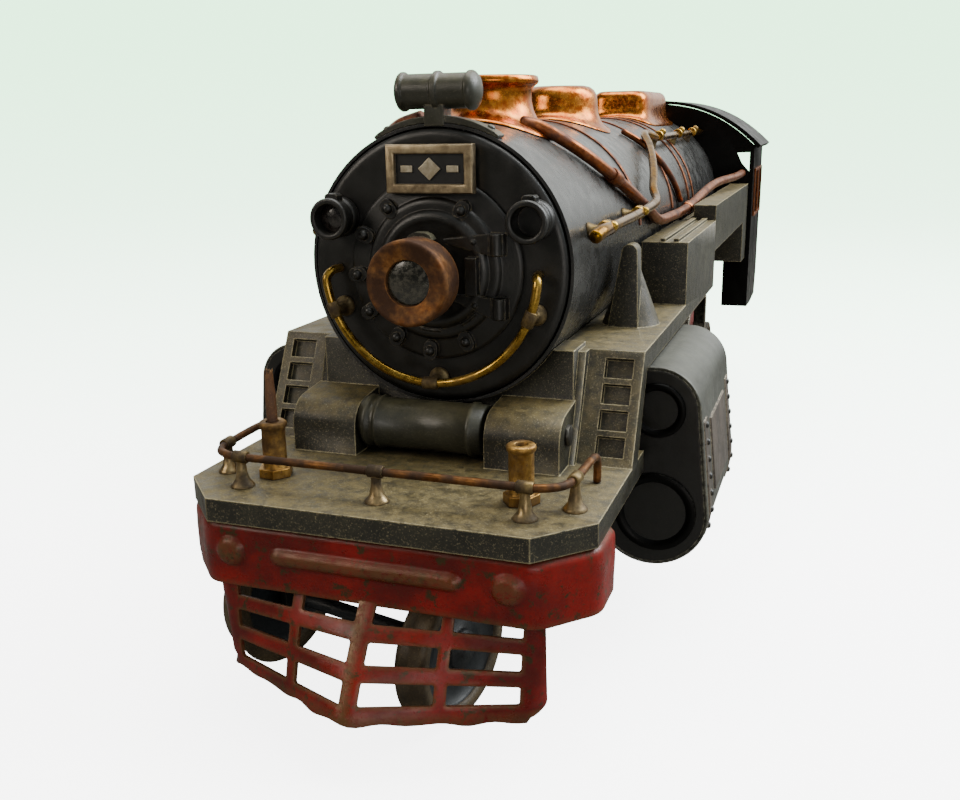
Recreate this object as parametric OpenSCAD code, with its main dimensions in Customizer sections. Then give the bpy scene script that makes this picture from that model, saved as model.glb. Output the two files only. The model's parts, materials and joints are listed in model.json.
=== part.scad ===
// Standard-gauge toy electric locomotive, 2-4-2, cast frame with a sheet-metal boiler.
// Drawn in the deck frame: y = 0 at the deck's front edge, z = 0 on the deck's top, x = 0 in the middle,
// the nose towards -Y and the locomotive's left side towards +X. placed() moves it to the row frame,
// whose origin is under the middle of the model, level with the bottom of the wheel flanges.

/* [Frame] */
// Full width of the deck and running boards
deck_w = 100; // [96:0.5:104]
// Width of the deck's front edge between its cut corners
deck_front_w = 77; // [70:0.5:80]
// Length of each cut corner, front to back
deck_chamfer = 12; // [8:0.5:14]
// Thickness of the deck casting
deck_t = 5.6; // [5:0.1:6]
// Height of the deck's top above the bottom of the wheel flanges
deck_h = 56.6; // [56.6]
// Height of the flat running board above the deck
board_z = 26; // [25:0.5:27]

/* [Boiler] */
// Outside radius of the boiler shell
boiler_r = 34.6; // [34.2:0.1:34.8]
// Height of the boiler's axis above the deck
boiler_z = 46.6; // [46.6]
// Front edge of the boiler shell
boiler_y0 = 50; // [49.5:0.5:50.5]
// Front wall of the cab, where the boiler ends
cab_y0 = 318; // [316:1:320]
// Thickness of the boiler's sheet metal
sheet_t = 0.8; // [0.6:0.1:1]

/* [Wheels and rods] */
// Tread radius of the driving wheels
driver_r = 31; // [30:0.5:31]
// Tread radius of the truck wheels
truck_r = 17; // [16:0.5:17]
// Depth of the wheel flanges
flange_h = 1.6; // [1.2:0.1:1.8]
// Distance from the middle to a wheel's inner face
wheel_x = 25; // [24.5:0.5:25.5]
// Throw of the crank pins
crank_r = 10; // [8:0.5:11]
// Front driving axle
axle1_y = 205; // [203:1:207]
// Rear driving axle
axle2_y = 283; // [281:1:285]
// Length of the main rods between their eyes
main_rod_l = 133; // [130:1:136]
// Angle of the left crank at rest
crank_left = -90; // [-180:5:180]
// Angle of the right crank at rest
crank_right = 0; // [-180:5:180]
// Swing of the pilot truck at rest
pilot_swing = -14; // [-15:1:15]

/* [Fits] */
// Radial clearance of a shaft in its bearing
run_gap = 0.08; // [0.04:0.01:0.1]
// Gap between parts that are assembled and stay put
fit_gap = 0.05; // [0.03:0.01:0.1]

/* [Hidden] */
$fn = 48;

// Row frame: halfway between the prow's tip and the drawbar's end
prow_y = -13.7;
tail_y = 376.3;
mid_y = (prow_y + tail_y) / 2;
bore_r = boiler_r - sheet_t;
deck_len = 62;
deck_back_w = 72;
// Wheels: every tread touches the rails, one flange depth above the row frame's floor
rail_z = flange_h - deck_h;
driver_z = rail_z + driver_r;
truck_z = rail_z + truck_r;
wheel_t = 6.5;
axle_r = 2.5;
truck_axle_r = 2;
plate_x = 17;
plate_t = 1.5;
// Rods, from the wheels outwards
side_rod_x = 38.6;
main_rod_x = 43.2;
rod_t = 2;
pin_r = 2;
cylinder_x = 48.2;
cylinder_z = -19;
chest_y0 = 66;
chest_l = 58;
piston_rod_r = 1.6;
crosshead_l = 14;
// Gear train between the armature and the rear driving axle
gear_m = 1.25;
drive_teeth = 32;
idler_teeth = 28;
pinion_teeth = 12;
gear_x = 19.4;
gear_t = 4;
idler_dir = 145.8;
pinion_dir = 160;
idler_pos = [axle2_y, driver_z] + gear_m * (drive_teeth + idler_teeth) / 2 
    * [cos(idler_dir), sin(idler_dir)];
rotor_pos = idler_pos + gear_m * (idler_teeth + pinion_teeth) / 2 * [cos(pinion_dir), sin(pinion_dir)];
rotor_r = 12.6;
// Trucks and pickups
pilot_pivot_y = 78;
pilot_axle_y = 23;
trail_pivot_y = 306;
trail_axle_y = 340;
pickup_y = [236, 252];
// Wire sizes
rail_wire_r = 1.05;
deck_wire_r = 0.9;
pipe_r = 1.7;
hand_r = 1.2;
deck_rail_z = 7.2;
// Clamps around the smokebox door: degrees above its left side, and distance from its middle
door_clamps = [[62, 16.6], [128, 18.8], [156, 20.2], [185, 20.8], [212, 21], [-121, 20.4], [-94, 20.6],
    [-65, 19.6]];
// Cab roof: half width, height of its edges, rise of its arch, and where it starts and ends
roof_half = 55;
roof_edge_z = 68;
roof_rise = 21;
roof_y0 = 316.5;
roof_l = 53.5;
cab_side_z = 68;

// ---------- helpers ----------

// Moves a part from the deck frame to the row frame
module placed() translate([0, -mid_y, deck_h]) children();

// A part and its mirror image across the middle
module both() {
    children();
    mirror([1, 0, 0]) children();
}

// Extrudes a (y, z) outline along +X from x0
module along_x(x0, len) translate([x0, 0, 0]) rotate([90, 0, 90]) linear_extrude(len) children();

// Extrudes an (x, z) outline along +Y from y0
module along_y(y0, len) translate([0, y0 + len, 0]) rotate([90, 0, 0]) linear_extrude(len) children();

// A round bar along +X, and one along +Y
module bar_x(x0, len, y, z, r) translate([x0, y, z]) rotate([0, 90, 0]) cylinder(r = r, h = len);
module bar_y(y0, len, x, z, r) translate([x, y0, z]) rotate([-90, 0, 0]) cylinder(r = r, h = len);

// Turns an (r, h) outline about an axis along +Y, and about one along +X
module turned_y(x, y, z) translate([x, y, z]) rotate([-90, 0, 0]) rotate_extrude() children();
module turned_x(x, y, z) translate([x, y, z]) rotate([0, 90, 0]) rotate_extrude() children();

// A bent wire through a list of points
module wire(pts, r) {
    for (i = [0 : len(pts) - 2]) {
        hull() {
            translate(pts[i]) sphere(r = r, $fn = 10);
            translate(pts[i + 1]) sphere(r = r, $fn = 10);
        }
    }
}

// Points of an arc in (a, b), from angle a0 to a1
function arc(c, r, a0, a1, n = 8) = [for (i = [0 : n])
    c + r * [cos(a0 + (a1 - a0) * i / n), sin(a0 + (a1 - a0) * i / n)]];

// A point on the boiler, gap mm off its skin, at angle a above the left side's horizontal
function on_boiler(y, a, gap) = [(boiler_r + gap) * cos(a), y, boiler_z + (boiler_r + gap) * sin(a)];

// Space for the boiler, cut from whatever stands against it
module boiler_space(gap = 0.15) bar_y(-20, 420, 0, boiler_z, boiler_r + gap);

// ---------- frame and front end ----------

module deck_outline() {
    polygon([[-deck_front_w / 2, 0], [deck_front_w / 2, 0], [deck_w / 2, deck_chamfer],
        [deck_w / 2, deck_len], [deck_back_w / 2, deck_len], [deck_back_w / 2, 126],
        [-deck_back_w / 2, 126], [-deck_back_w / 2, deck_len], [-deck_w / 2, deck_len],
        [-deck_w / 2, deck_chamfer]]);
}

// One running board seen from the side: steps, flat board, box and rear board
module board_outline() {
    polygon([[47, -1], [47, 0], [60.5, board_z], [127, board_z], [127, 45], [195, 45], [195, 50.5],
        [317, 50.5], [317, 16], [300, 16], [300, 34], [196, 34], [196, 21], [64, 21], [54, -1]]);
}

module steps_recess() {
    rise = atan2(board_z, 13.5);
    for (i = [0 : 3]) {
        translate([40.5, 47, 0]) rotate([rise, 0, 0]) translate([0, 2.4 + i * 6.6, -2]) cube([7, 5, 5]);
    }
}

module frame_casting() color("#4b4a40") {
    difference() {
        union() {
            translate([0, 0, -deck_t]) linear_extrude(deck_t) deck_outline();
            both() {
                along_x(36, deck_w / 2 - 36) board_outline();
                translate([27, 61, 21]) cube([10, 135, board_z - 21]);
                // cheek beside the boiler, and the gusset on the flat board
                along_x(34, 2) polygon([[45, -1], [52, 13], [57, board_z], [64, board_z], [64, -1]]);
                along_y(89, 5.4) polygon(concat([[34, 25], [42.6, 25]],
                    arc([39.8, 46.6], 2.2, 10, 160, 6)));
                translate([39.2, 96.4, 25.5]) cylinder(r1 = 8.2, r2 = 1, h = 19.5);
                for (rib = [41.5, 45.5]) {
                    translate([rib, 128, 44]) cube([1.6, 66, 2]);
                }
            }
            // saddle under the smokebox and the two blocks that hold the air tank
            translate([-34, 52.4, -1]) cube([68, 12, 28]);
            for (b = [[-36.5, 17.6], [15.5, 19]]) {
                along_x(b[0], b[1]) polygon(concat([[53, -1], [37.4, -1]],
                    arc([44.4, 6.6], 7, 180, 90, 6), [[53, 14.6]]));
            }
            // cab floor, narrow in front of the cab's front wall
            translate([-39.8, 300, 17]) cube([79.6, 20, 2.5]);
            translate([-50.9, cab_y0 + 1.4, 17]) cube([101.8, 41, 2.5]);
        }
        boiler_space();
        both() {
            steps_recess();
            translate([38, 132, 16]) cube([10, 60, 25]);
            translate([38, 200, 30]) cube([10, 98, 16]);
            // slot between the rear board and the boiler, for the injector pipe
            translate([30, 194.9, 44]) cube([12, 122.6, 8]);
            translate([31, 18.7, -6]) cylinder(r = 1.5, h = 7);
        }
        // openings for the motor in the floor of the cab
        translate([-20, 299, 16]) cube([40, 12, 5]);
        translate([0, pilot_pivot_y, -6]) cylinder(r = 1.5, h = 7);
    }
}

module air_tank() color("#30322f") {
    turned_x(-18.8, 44.6, 7.4)
        polygon([[0, 0], [6.3, 0], [6.3, 1], [6.9, 1.2], [6.9, 2.6], [6.4, 2.8], [6.4, 4.4], [6.9, 4.6],
            [6.9, 5.2],
            [6.4, 5.4], [6.4, 29], [6.9, 29.2], [6.9, 30.4], [6.4, 30.6], [6.4, 32.8], [0, 32.8 + 1.2]]);
}

module smokebox_front() color("#26282a") {
    turned_y(0, 48.9, boiler_z) polygon([[0, 0], [32.6, 0], [33.4, 0.9], [33.4, 4], [31, 4], [31, 2.6],
        [0, 2.6]]);
}

module smokebox_door() color("#1f2122") {
    difference() {
        union() {
            turned_y(0, 45.4, boiler_z)
                polygon([[0, 0], [13.4, 0], [14, 0.7], [14.3, 1.5], [21.8, 1.5], [22.6, 2.3],
                    [22.6, 3.45], [0, 3.45]]);
            for (c = door_clamps) {
                door_clamp_place(c) {
                    translate([-2.2, -1.7, 0.6]) cube([4.4, 3.4, 2.8]);
                    cylinder(r = 1, h = 1, center = true);
                }
            }
            // hinge straps on the left side
            for (z = [-7, 6]) {
                translate([3, 44.6, boiler_z + z - 1.4]) cube([16.6, 2.4, 2.8]);
            }
        }
        // seat of the headlight bracket, and room for the number plate
        bar_y(40, 7, 0, 45.7, 4.6);
        translate([-11.4, 44, 64.7]) cube([22.8, 6, 12]);
    }
}

// Places a clamp on the rim of the smokebox door, its own +Z towards the door
module door_clamp_place(c) translate([0, 46, boiler_z]) rotate([-90, 0, 0]) rotate([0, 0, -c[0]])
    translate([c[1], 0, -0.5]) children();

// Framed plate that carries a plain diamond between two bars
module number_plate() color("#a2906a") {
    difference() {
        translate([-11.15, 45.2, 64.95]) cube([22.3, 2.6, 11.5]);
        translate([-8.7, 45, 67.2]) cube([17.4, 1.2, 7]);
    }
    along_y(45.6, 1) polygon([[-3, 70.7], [0, 68.3], [3, 70.7], [0, 73.1]]);
    for (x = [-7, 4.6]) {
        translate([x, 45.6, 69.9]) cube([2.4, 1, 1.6]);
    }
    translate([-3, 47.7, 69]) cube([6, 1.18, 3]);
}

module headlight_housing() color("#8a5233") {
    turned_y(0, 29.5, 45.7)
        polygon([[5.2, 1.2], [5.8, 0.9], [9.2, 0], [9.8, 0.6], [9.9, 8.8], [9, 10.6], [7, 12],
            [4.5, 12.6], [4.5, 17.3], [0, 17.3], [0, 4], [5.2, 4]]);
}

module lamp_lenses() color("#7a7c70") {
    turned_y(0, 30.9, 45.7) polygon([[0, 0], [3, 0.2], [5.1, 0.9], [5.1, 1.6], [0, 1.6]]);
    turned_y(-25.3, 44.2, 58.9) polygon([[0, 0], [2, 0.3], [3.4, 1.1], [3.4, 1.9], [0, 1.9]]);
}

module marker_lamps() color("#232426") both() {
    turned_y(25.3, 41.2, 58.9)
        polygon([[3.5, 0], [4.7, 0], [5.1, 0.5], [5.1, 1.7], [4.6, 2.1], [4.6, 5.2], [5, 5.6], [5, 7.6],
            [0, 7.6], [0, 5.2], [3.5, 5.2]]);
    translate([23.6, 43.2, 62.9]) cube([3.4, 3, 1.9]);
}

module grab_rail() color("#a67f35") {
    r = 27.6;
    y = 43.6;
    ring = [for (i = [0 : 16]) [r * cos(185 + i * 10.625), y, boiler_z + r * sin(185 + i * 10.625)]];
    end_l = [[0.4 - r, y + 4.9, boiler_z - 0.8], [-r, y + 2, boiler_z - 1]];
    end_r = [[r, y + 2, boiler_z - 1], [r - 0.4, y + 4.9, boiler_z - 0.8]];
    wire(concat(end_l, ring, end_r), rail_wire_r);
    for (a = [-158, -90, -22]) {
        translate([r * cos(a), y, boiler_z + r * sin(a)]) rotate([-90, 0, 0]) {
            cylinder(r1 = 1.2, r2 = 2.6, h = 5.2);
            sphere(r = 1.7);
        }
    }
}

// ---------- boiler and its fittings ----------

module boiler_shell() color("#4a4e50") {
    difference() {
        bar_y(boiler_y0, cab_y0 - boiler_y0 - fit_gap, 0, boiler_z, boiler_r);
        bar_y(boiler_y0 - 1, cab_y0 - boiler_y0 + 2, 0, boiler_z, bore_r);
        // the motor reaches up into the shell
        translate([-22, 185, -10]) cube([44, 140, 40]);
    }
}

module boiler_bands() color("#8c4f35") {
    for (y = [131, 192, 232, 244]) {
        translate([0, y, boiler_z]) rotate([90, 0, 0]) rotate_extrude(angle = 170, start = 5)
            translate([boiler_r + 0.03, -1.1]) square([0.5, 2.2]);
    }
}

module feedwater_heater() color("#26282a") {
    turned_x(-10.6, 52.4, 88.5)
        polygon(concat([[0, 0.4], [3.8, 0.4], [4.6, 1], [4.6, 2], [4.2, 2.2], [4.2, 9.8], [4.7, 10.1],
            [4.7, 11.1],
            [4.2, 11.4], [4.2, 18.4], [4.6, 18.6], [4.6, 19.6]], [[3.6, 20.6], [1.8, 21.2], [0, 21.4]]));
    difference() {
        union() {
            translate([-2.6, 49.6, 79]) cube([5.2, 5.6, 7]);
            along_y(50, 5) polygon([[-14, 77], [-6, 82.6], [6, 82.6], [14, 77]]);
        }
        boiler_space(0.03);
    }
}

// Stack: a waisted tube with a rolled rim and a flared foot that fits the boiler
module smokestack() color("#b5683c") {
    difference() {
        translate([0, 91, 0]) rotate_extrude()
            polygon(concat([[0, 76]], [[18.4, 76], [18.2, 79.4]], arc([17.6, 85.6], 6.2, 270, 180, 6),
                [[11.4, 90], [12.4, 91]], arc([12.2, 92.1], 1, -60, 120, 5),
                    [[10.6, 92.4], [9.6, 90], [9.2, 80], [0, 80]]));
        boiler_space(0.03);
    }
}

module steam_dome() color("#b5683c") {
    difference() {
        translate([0, 163, 0]) rotate_extrude()
            polygon(concat([[0, 76], [17.6, 76], [17.4, 79.4]], arc([16.8, 83.4], 4, 270, 190, 5),
                arc([8.6, 87.4], 4.2, 0, 90, 5), [[0, 92.2]]));
        boiler_space(0.03);
    }
}

module sand_dome() color("#b5683c") {
    difference() {
        union() {
            rounded_box(285, 56, 26, 3, 72, 92.4);
            rounded_box(285, 62, 31, 3, 72, 82);
        }
        boiler_space(0.03);
    }
}

// A box with rounded vertical corners, centred on y
module rounded_box(y, len_y, len_x, r, z0, z1) {
    translate([0, y, z0]) linear_extrude(z1 - z0) {
        square([len_x - 2 * r, len_y], center = true);
        square([len_x, len_y - 2 * r], center = true);
        for (sx = [-1, 1], sy = [-1, 1]) {
            translate([sx * (len_x / 2 - r), sy * (len_y / 2 - r)]) circle(r = r);
        }
    }
}

// Injector pipe down the boiler's side: it starts at y0, at angle a0, and ends beside the running board
function pipe_lead(y0, a0) = [for (i = [0 : 7])
    on_boiler(y0 + (152 - y0) * i * i / 49, a0 + (4.4 - a0) * i / 7, pipe_r + 0.25)];

module injector_pipe(y0, a0) {
    lead = pipe_lead(y0, a0);
    run = [[37.4, 170, 48.6], [38.2, 206, 48.8], [42, 250, 54.4], [46.4, 290, 55.2],
        [47, cab_y0 - pipe_r - 0.1, 55.4]];
    wire(concat(lead, run), pipe_r);
    translate(lead[4]) sphere(r = pipe_r + 0.2, $fn = 16);
    translate(run[1]) sphere(r = pipe_r + 0.2, $fn = 16);
}

module copper_pipes() color("#8c4f35") {
    injector_pipe(86, 66);
    mirror([1, 0, 0]) injector_pipe(57.5, 80);
    // sander pipes, behind the second dome
    both() wire([for (i = [0 : 7]) on_boiler(176 + i * 4.3, 68 - i * 8.4, 1.2)], 1.1);
}

module handrails() color("#b08a3e") both() {
    front = [[37.6, 59.5, 54.6], [38.8, 63, 55.4], [38.8, 108, 55.4], [38.4, 136, 56.4]];
    bend = [for (i = [0 : 4]) on_boiler(146 + i * 11, 20 + i * 7.6, 3.4)];
    top = [[26.6, 204, 74.4], [26.6, 250, 74.4], [26.6, cab_y0 - hand_r - 0.1, 74.4]];
    wire(concat(front, bend, top), hand_r);
}

module handrail_posts() color("#a67f35") both() {
    for (p = [[68, 13], [110, 13], [204, 46.4], [250, 46.4], [290, 46.4]]) {
        translate(on_boiler(p[0], p[1], 0.02)) rotate([0, 90 - p[1], 0]) {
            cylinder(r1 = 2.2, r2 = 1.3, h = 3);
            translate([0, 0, 4.4]) sphere(r = 1.9, $fn = 24);
        }
    }
}

// ---------- deck fittings ----------

function corner_pt(s) = [s * 40.6, 11.4, deck_rail_z];

module deck_rail() color("#8c5a3a") {
    left = [[44.1, 35.6, deck_wire_r + fit_gap], [44.1, 35.6, 5.6], [43.9, 34.4, deck_rail_z],
        [43.5, 17.9, deck_rail_z],
        [42.6, 13.4, deck_rail_z], corner_pt(1), [37.4, 9.9, deck_rail_z], [34.6, 9.7, deck_rail_z]];
    right = [for (i = [0 : len(left) - 1]) let (p = left[len(left) - 1 - i]) [-p[0], p[1], p[2]]];
    wire(concat(left, right), deck_wire_r);
}

module deck_rail_posts() color("#9a8250") {
    for (p = [[0, 9.7], [34.6, 9.7], [-34.6, 9.7], [43.5, 17.9], [-43.5, 17.9]]) {
        translate([p[0], p[1], 0.02]) {
            cylinder(r1 = 2.7, r2 = 1.1, h = 5.4);
            translate([0, 0, deck_rail_z]) sphere(r = 1.5, $fn = 24);
            translate([0, 0, 5]) cylinder(r = 1, h = 1.6);
        }
    }
}

module flag_sockets() color("#9a7a3c") both() {
    translate([31, 18.7, 0.02]) difference() {
        union() {
            cylinder(r = 4.3, h = 2.2, $fn = 6);
            cylinder(r = 2.9, h = 13);
            translate([0, 0, 11.8]) cylinder(r = 3.4, h = 1.8);
        }
        translate([0, 0, 2]) cylinder(r = 1.45, h = 13);
    }
}

module flag_staff() color("#9b6a3f") {
    translate([-31, 18.7, 2.1]) {
        cylinder(r = 1.4, h = 17.5);
        cylinder(r = 1.15, h = 24.8);
    }
}

// ---------- pilot ----------

// A point of the cow-catcher, s across from the middle (-1 to 1) and v down from the top (0 to 1)
function prow(s, v) = let (a = abs(s)) [s * (40 - 0.5 * v),
    (1 - v) * (2.2 + 4.8 * a) + v * (prow_y + 0.8 + 20 * a),
    (1 - v) * (-19.6 - 1.6 * a) + v * (-41.9 - 2.6 * a)];

module prow_bar(s0, v0, s1, v1, w) {
    hull() {
        for (p = [prow(s0, v0), prow(s1, v1)]) {
            translate(p) rotate([3, 2, 1]) cube([w, 1.43, w * 1.01], center = true);
        }
    }
}

module pilot() color("#7d2a22") {
    // stamped band under the deck
    translate([0, 0, -21.2]) linear_extrude(15.2) difference() {
        polygon([[-50.6, 25], [-50.6, 13.8], [-38.6, 1.7], [38.6, 1.7], [50.6, 13.8], [50.6, 25]]);
        polygon([[-49.4, 26], [-49.4, 14.3], [-38.1, 2.9], [38.1, 2.9], [49.4, 14.3], [49.4, 26]]);
    }
    translate([0, 0, -6.9]) linear_extrude(1.2)
        polygon([[-50, 14], [-38.3, 2.6], [38.3, 2.6], [50, 14], [30, 9], [-30, 9]]);
    for (x = [-33.4, 33.4]) {
        bar_y(0.6, 2, x, -12.6, 3.4);
    }
    hull() {
        translate([-21, 1.9, -12.6]) sphere(r = 1.6, $fn = 16);
        translate([21, 1.9, -12.6]) sphere(r = 1.6, $fn = 16);
    }
    for (side = [-1, 1], v = [0, 0.34, 0.67, 1]) {
        prow_bar(0, v, side, v, 2.8);
    }
    for (s = [-1, -0.5, 0, 0.5, 1]) {
        prow_bar(s, 0, s, 1, 3.2);
    }
}

// ---------- cylinders ----------

// Cross-section of a steam chest: valve chest above, cylinder below
module chest_outline() {
    polygon(concat([[38, 20.6]], arc([52.2, 9.4], 11.2, 90, 8, 8), [[66, -17]],
        arc([51.2, -18.3], 15, -4, -150, 14), [[38, -24]]));
}

module steam_chests() color("#6f7168") both() {
    difference() {
        union() {
            along_y(chest_y0 + 1.2, chest_l - 1.2) chest_outline();
            // raised panel and the two rows of rivets on its outer face
            translate([62.6, 76, -14]) cube([3, 36, 18]);
            for (y = [70, 120], z = [-24 : 6.4 : 8]) {
                bar_x(60, 64.6 - 60 - min(z, 0) * 0.055 + (z < -20 ? -0.6 : 0), y, z, 0.9);
            }
        }
        bar_y(chest_y0 + chest_l - 40, 41, cylinder_x, cylinder_z, piston_rod_r + run_gap);
        bar_y(60, 10, 52.4, 9.4, 8.7);
        bar_y(60, 10, 52.4, -18.3, 13.2);
    }
}

module cylinder_heads() color("#1d1e1f") both() {
    turned_y(52.4, chest_y0, 9.4)
        polygon([[0, 0.6], [2, 0.6], [2.3, 1.2], [4.6, 1.2], [4.9, 0.2], [6.3, 0.2], [6.6, 1.4],
            [8.2, 1.4], [8.6, 1.8], [8.6, 3.95], [0, 3.95]]);
    turned_y(52.4, chest_y0, -18.3)
        polygon([[0, 0.9], [7.4, 0.9], [7.8, 0.2], [9.6, 0.2], [10, 1.4], [12.6, 1.4], [13.1, 1.9],
            [13.1, 3.95], [0, 3.95]]);
}

module crosshead_guides() color("#b9b3a6") both() {
    y0 = chest_y0 + chest_l + fit_gap;
    for (z = [cylinder_z + 4.2, cylinder_z - 6.2]) {
        translate([46.4, y0, z]) cube([3.6, 52, 2]);
    }
    // hanger up to the running board
    translate([46.2, y0 + 50, cylinder_z - 6.4]) cube([4, 2.4, 46.3]);
    translate([46.4, y0, 2]) cube([2, 52, 2.4]);
}

// ---------- cab ----------

// Height of the roof at x, for a skin that lies drop below its top
function roof_z(x, drop) = roof_edge_z - drop + roof_rise * (1 - pow(abs(x) / (roof_half - drop), 2.6));

module cab_roof() color("#1c1d1e") {
    t = 1.4;
    outer = [for (i = [-16 : 16]) let (x = roof_half * i / 16) [x, roof_z(x, 0)]];
    inner = [for (i = [16 : -1 : -16]) let (x = (roof_half - t) * i / 16) [x, roof_z(x, t)]];
    along_y(roof_y0, roof_l) polygon(concat(outer, inner));
}

module cab_side_outline() {
    difference() {
        polygon([[cab_y0, -8], [cab_y0 + 20, -9], [cab_y0 + 42, -8], [cab_y0 + 46, 4],
            [cab_y0 + 46, cab_side_z], [cab_y0, cab_side_z]]);
        translate([cab_y0 + 7, 36]) square([14, 20]);
        translate([cab_y0 + 25, 36]) square([14, 20]);
    }
}

module cab_body() color("#2b2d2f") {
    top = [for (i = [12 : -1 : -12]) let (x = i * 52 / 12) [x, roof_z(x, 1.6)]];
    both() along_x(51, 1) cab_side_outline();
    along_y(cab_y0, 1.2) difference() {
        polygon(concat([[40, -8], [52, -8]], top, [[-52, -8], [-40, -8], [-40, 20], [40, 20]]));
        front_window();
        mirror([1, 0]) front_window();
        translate([-20, -10]) square([40, 34]);
    }
}

module front_window() polygon([[44.2, 64.6], [50, 64.8], [50, 56], [46.4, 60]]);

module window_frames() color("#9a6a3a") both() {
    for (y = [cab_y0 + 7, cab_y0 + 25]) {
        along_x(52.05, 0.8) translate([y, 36]) difference() {
            translate([-1.2, -1.2]) square([16.4, 22.4]);
            square([14, 20]);
        }
    }
}

// ---------- motor ----------

module plate_outline() {
    polygon([[104, -6], [104, -16], [180, -30], [196, -36], [296, -36], [299, -15], [346, -15],
        [346, 16.9], [258, 16.9], [246, 24], [206, 24], [196, 10], [128, 10], [126.5, -6]]);
}

module motor_side_plates() color("#5a5b5c") {
    both() difference() {
        along_x(plate_x, plate_t) plate_outline();
        for (y = [axle1_y, axle2_y]) {
            bar_x(10, 15, y, driver_z, axle_r + run_gap);
        }
        bar_x(10, 15, rotor_pos[0], rotor_pos[1], 1.6 + run_gap);
        bar_x(10, 15, idler_pos[0], idler_pos[1], 1.5 + fit_gap);
    }
    // spacers between the plates
    for (p = [[120, -11], [176, 2], [300, 6], [336, 6]]) {
        bar_x(-plate_x, 2 * plate_x, p[0], p[1], 2.5);
    }
    // cross plate that carries the trailing truck's pivot
    difference() {
        translate([-plate_x, trail_pivot_y - 6, -15]) cube([2 * plate_x, 12, 2.4]);
        translate([0, trail_pivot_y, -16]) cylinder(r = 1.5, h = 5);
    }
}

module field_magnet() color("#6a6a6c") {
    difference() {
        along_x(-10, 20) difference() {
            polygon([[206, -9.6], [214, -14], [246, -14], [246, 22.6], [214, 22.6], [208, 18]]);
            translate([rotor_pos[0], rotor_pos[1]]) circle(r = rotor_r + 0.6);
        }
    }
    along_x(-7, 14) polygon([[186, -2], [207, -2], [207, 16], [186, 16]]);
}

module field_coil() color("#7a3b22") {
    difference() {
        along_x(-13, 26) polygon([[188, -6.5], [203.5, -6.5], [203.5, 20.5], [188, 20.5]]);
        along_x(-7.1, 14.2) polygon([[186, -2.1], [207, -2.1], [207, 16.1], [186, 16.1]]);
    }
}

module brush_holders() color("#5b3a22") {
    translate([-22.6, rotor_pos[0] - 11, rotor_pos[1] - 5]) difference() {
        cube([3.4, 22, 10]);
        translate([-1, 11, 5]) rotate([0, 90, 0]) cylinder(r = 2.4, h = 6);
    }
    for (s = [-1, 1]) {
        bar_x(-24, 1.35, rotor_pos[0] + s * 7.5, rotor_pos[1], 2.2);
    }
}

module pickup_plate() color("#3a2c22") {
    translate([-16.9, 222, -38.4]) cube([33.8, 44, 2]);
    for (y = pickup_y, x = [-15, 12.6]) {
        difference() {
            translate([x, y == pickup_y[0] ? 227 : 257, -42]) cube([2.4, 4, 3.65]);
            bar_x(x - 1, 5, y == pickup_y[0] ? 229 : 259, -40.2, 0.8 + run_gap);
        }
    }
}

module reverse_unit() color("#7c6a45") {
    bar_x(-9, 18, 326, 27, 6);
    translate([-12, 318.6 + 1, 19.6]) cube([24, 13, 1.6]);
    for (x = [-11.4, 9.8]) {
        translate([x, 320.5, 20]) cube([1.6, 11, 12]);
    }
}

module frame_screws() color("#7b7a76") {
    // truck pivots, then the plug at the end of the air tank
    translate([0, pilot_pivot_y, 0.02]) cylinder(r = 3, h = 1.4);
    translate([0, pilot_pivot_y, -12]) cylinder(r = 1.45, h = 12.5);
    translate([0, pilot_pivot_y, -13.4]) cylinder(r = 3.2, h = 1.4);
    translate([0, trail_pivot_y, -22]) cylinder(r = 1.45, h = 12);
    translate([0, trail_pivot_y, -23.4]) cylinder(r = 3.2, h = 1.4);
    bar_x(34.55, 0.8, 44.6, 8, 2.6);
}

// ---------- moving parts ----------

// A spur gear in the (y, z) plane: n teeth, the first one at angle a0
module gear_outline(n, a0) {
    r = gear_m * n / 2;
    tip = r + gear_m * 0.8;
    root = r - gear_m * 1.05;
    pitch = 360 / n;
    polygon([for (i = [0 : n - 1], k = [[-0.3, 0], [-0.11, 1], [0.11, 1], [0.3, 0]])
        let (a = a0 + pitch * (i + k[0]), q = k[1] == 1 ? tip : root) [q * cos(a), q * sin(a)]]);
}

idler_a0 = idler_dir + 180 + 180 / idler_teeth;
idler_lead = idler_a0 - pinion_dir;
pinion_a0 = pinion_dir + 180 + 180 / pinion_teeth - idler_lead * idler_teeth / pinion_teeth;

module armature() color("#8a5a34") translate([0, rotor_pos[0], rotor_pos[1]]) {
    bar_x(-19, 43.4, 0, 0, 1.6);
    difference() {
        bar_x(-9, 18, 0, 0, rotor_r);
        for (a = [0 : 120 : 240]) {
            rotate([a, 0, 0]) translate([-10, -1, 8]) cube([20, 2, 6]);
        }
    }
    bar_x(-13.4, 4.6, 0, 0, 9.5);
    along_x(gear_x, gear_t) gear_outline(pinion_teeth, pinion_a0);
}

module idler_gear() color("#b59a54") translate([0, idler_pos[0], idler_pos[1]]) {
    difference() {
        along_x(gear_x, gear_t) gear_outline(idler_teeth, idler_a0);
        for (a = [0 : 60 : 300]) {
            bar_x(gear_x - 1, gear_t + 2, 10 * cos(a), 10 * sin(a), 2.6);
        }
    }
    bar_x(gear_x - 2.35, gear_t + 2.4, 0, 0, 1.5);
}

module rear_drive_gear() color("#b59a54") translate([0, axle2_y, driver_z]) {
    difference() {
        along_x(gear_x, gear_t) gear_outline(drive_teeth, idler_dir);
        bar_x(0, 40, 0, 0, axle_r + fit_gap);
    }
}

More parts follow.
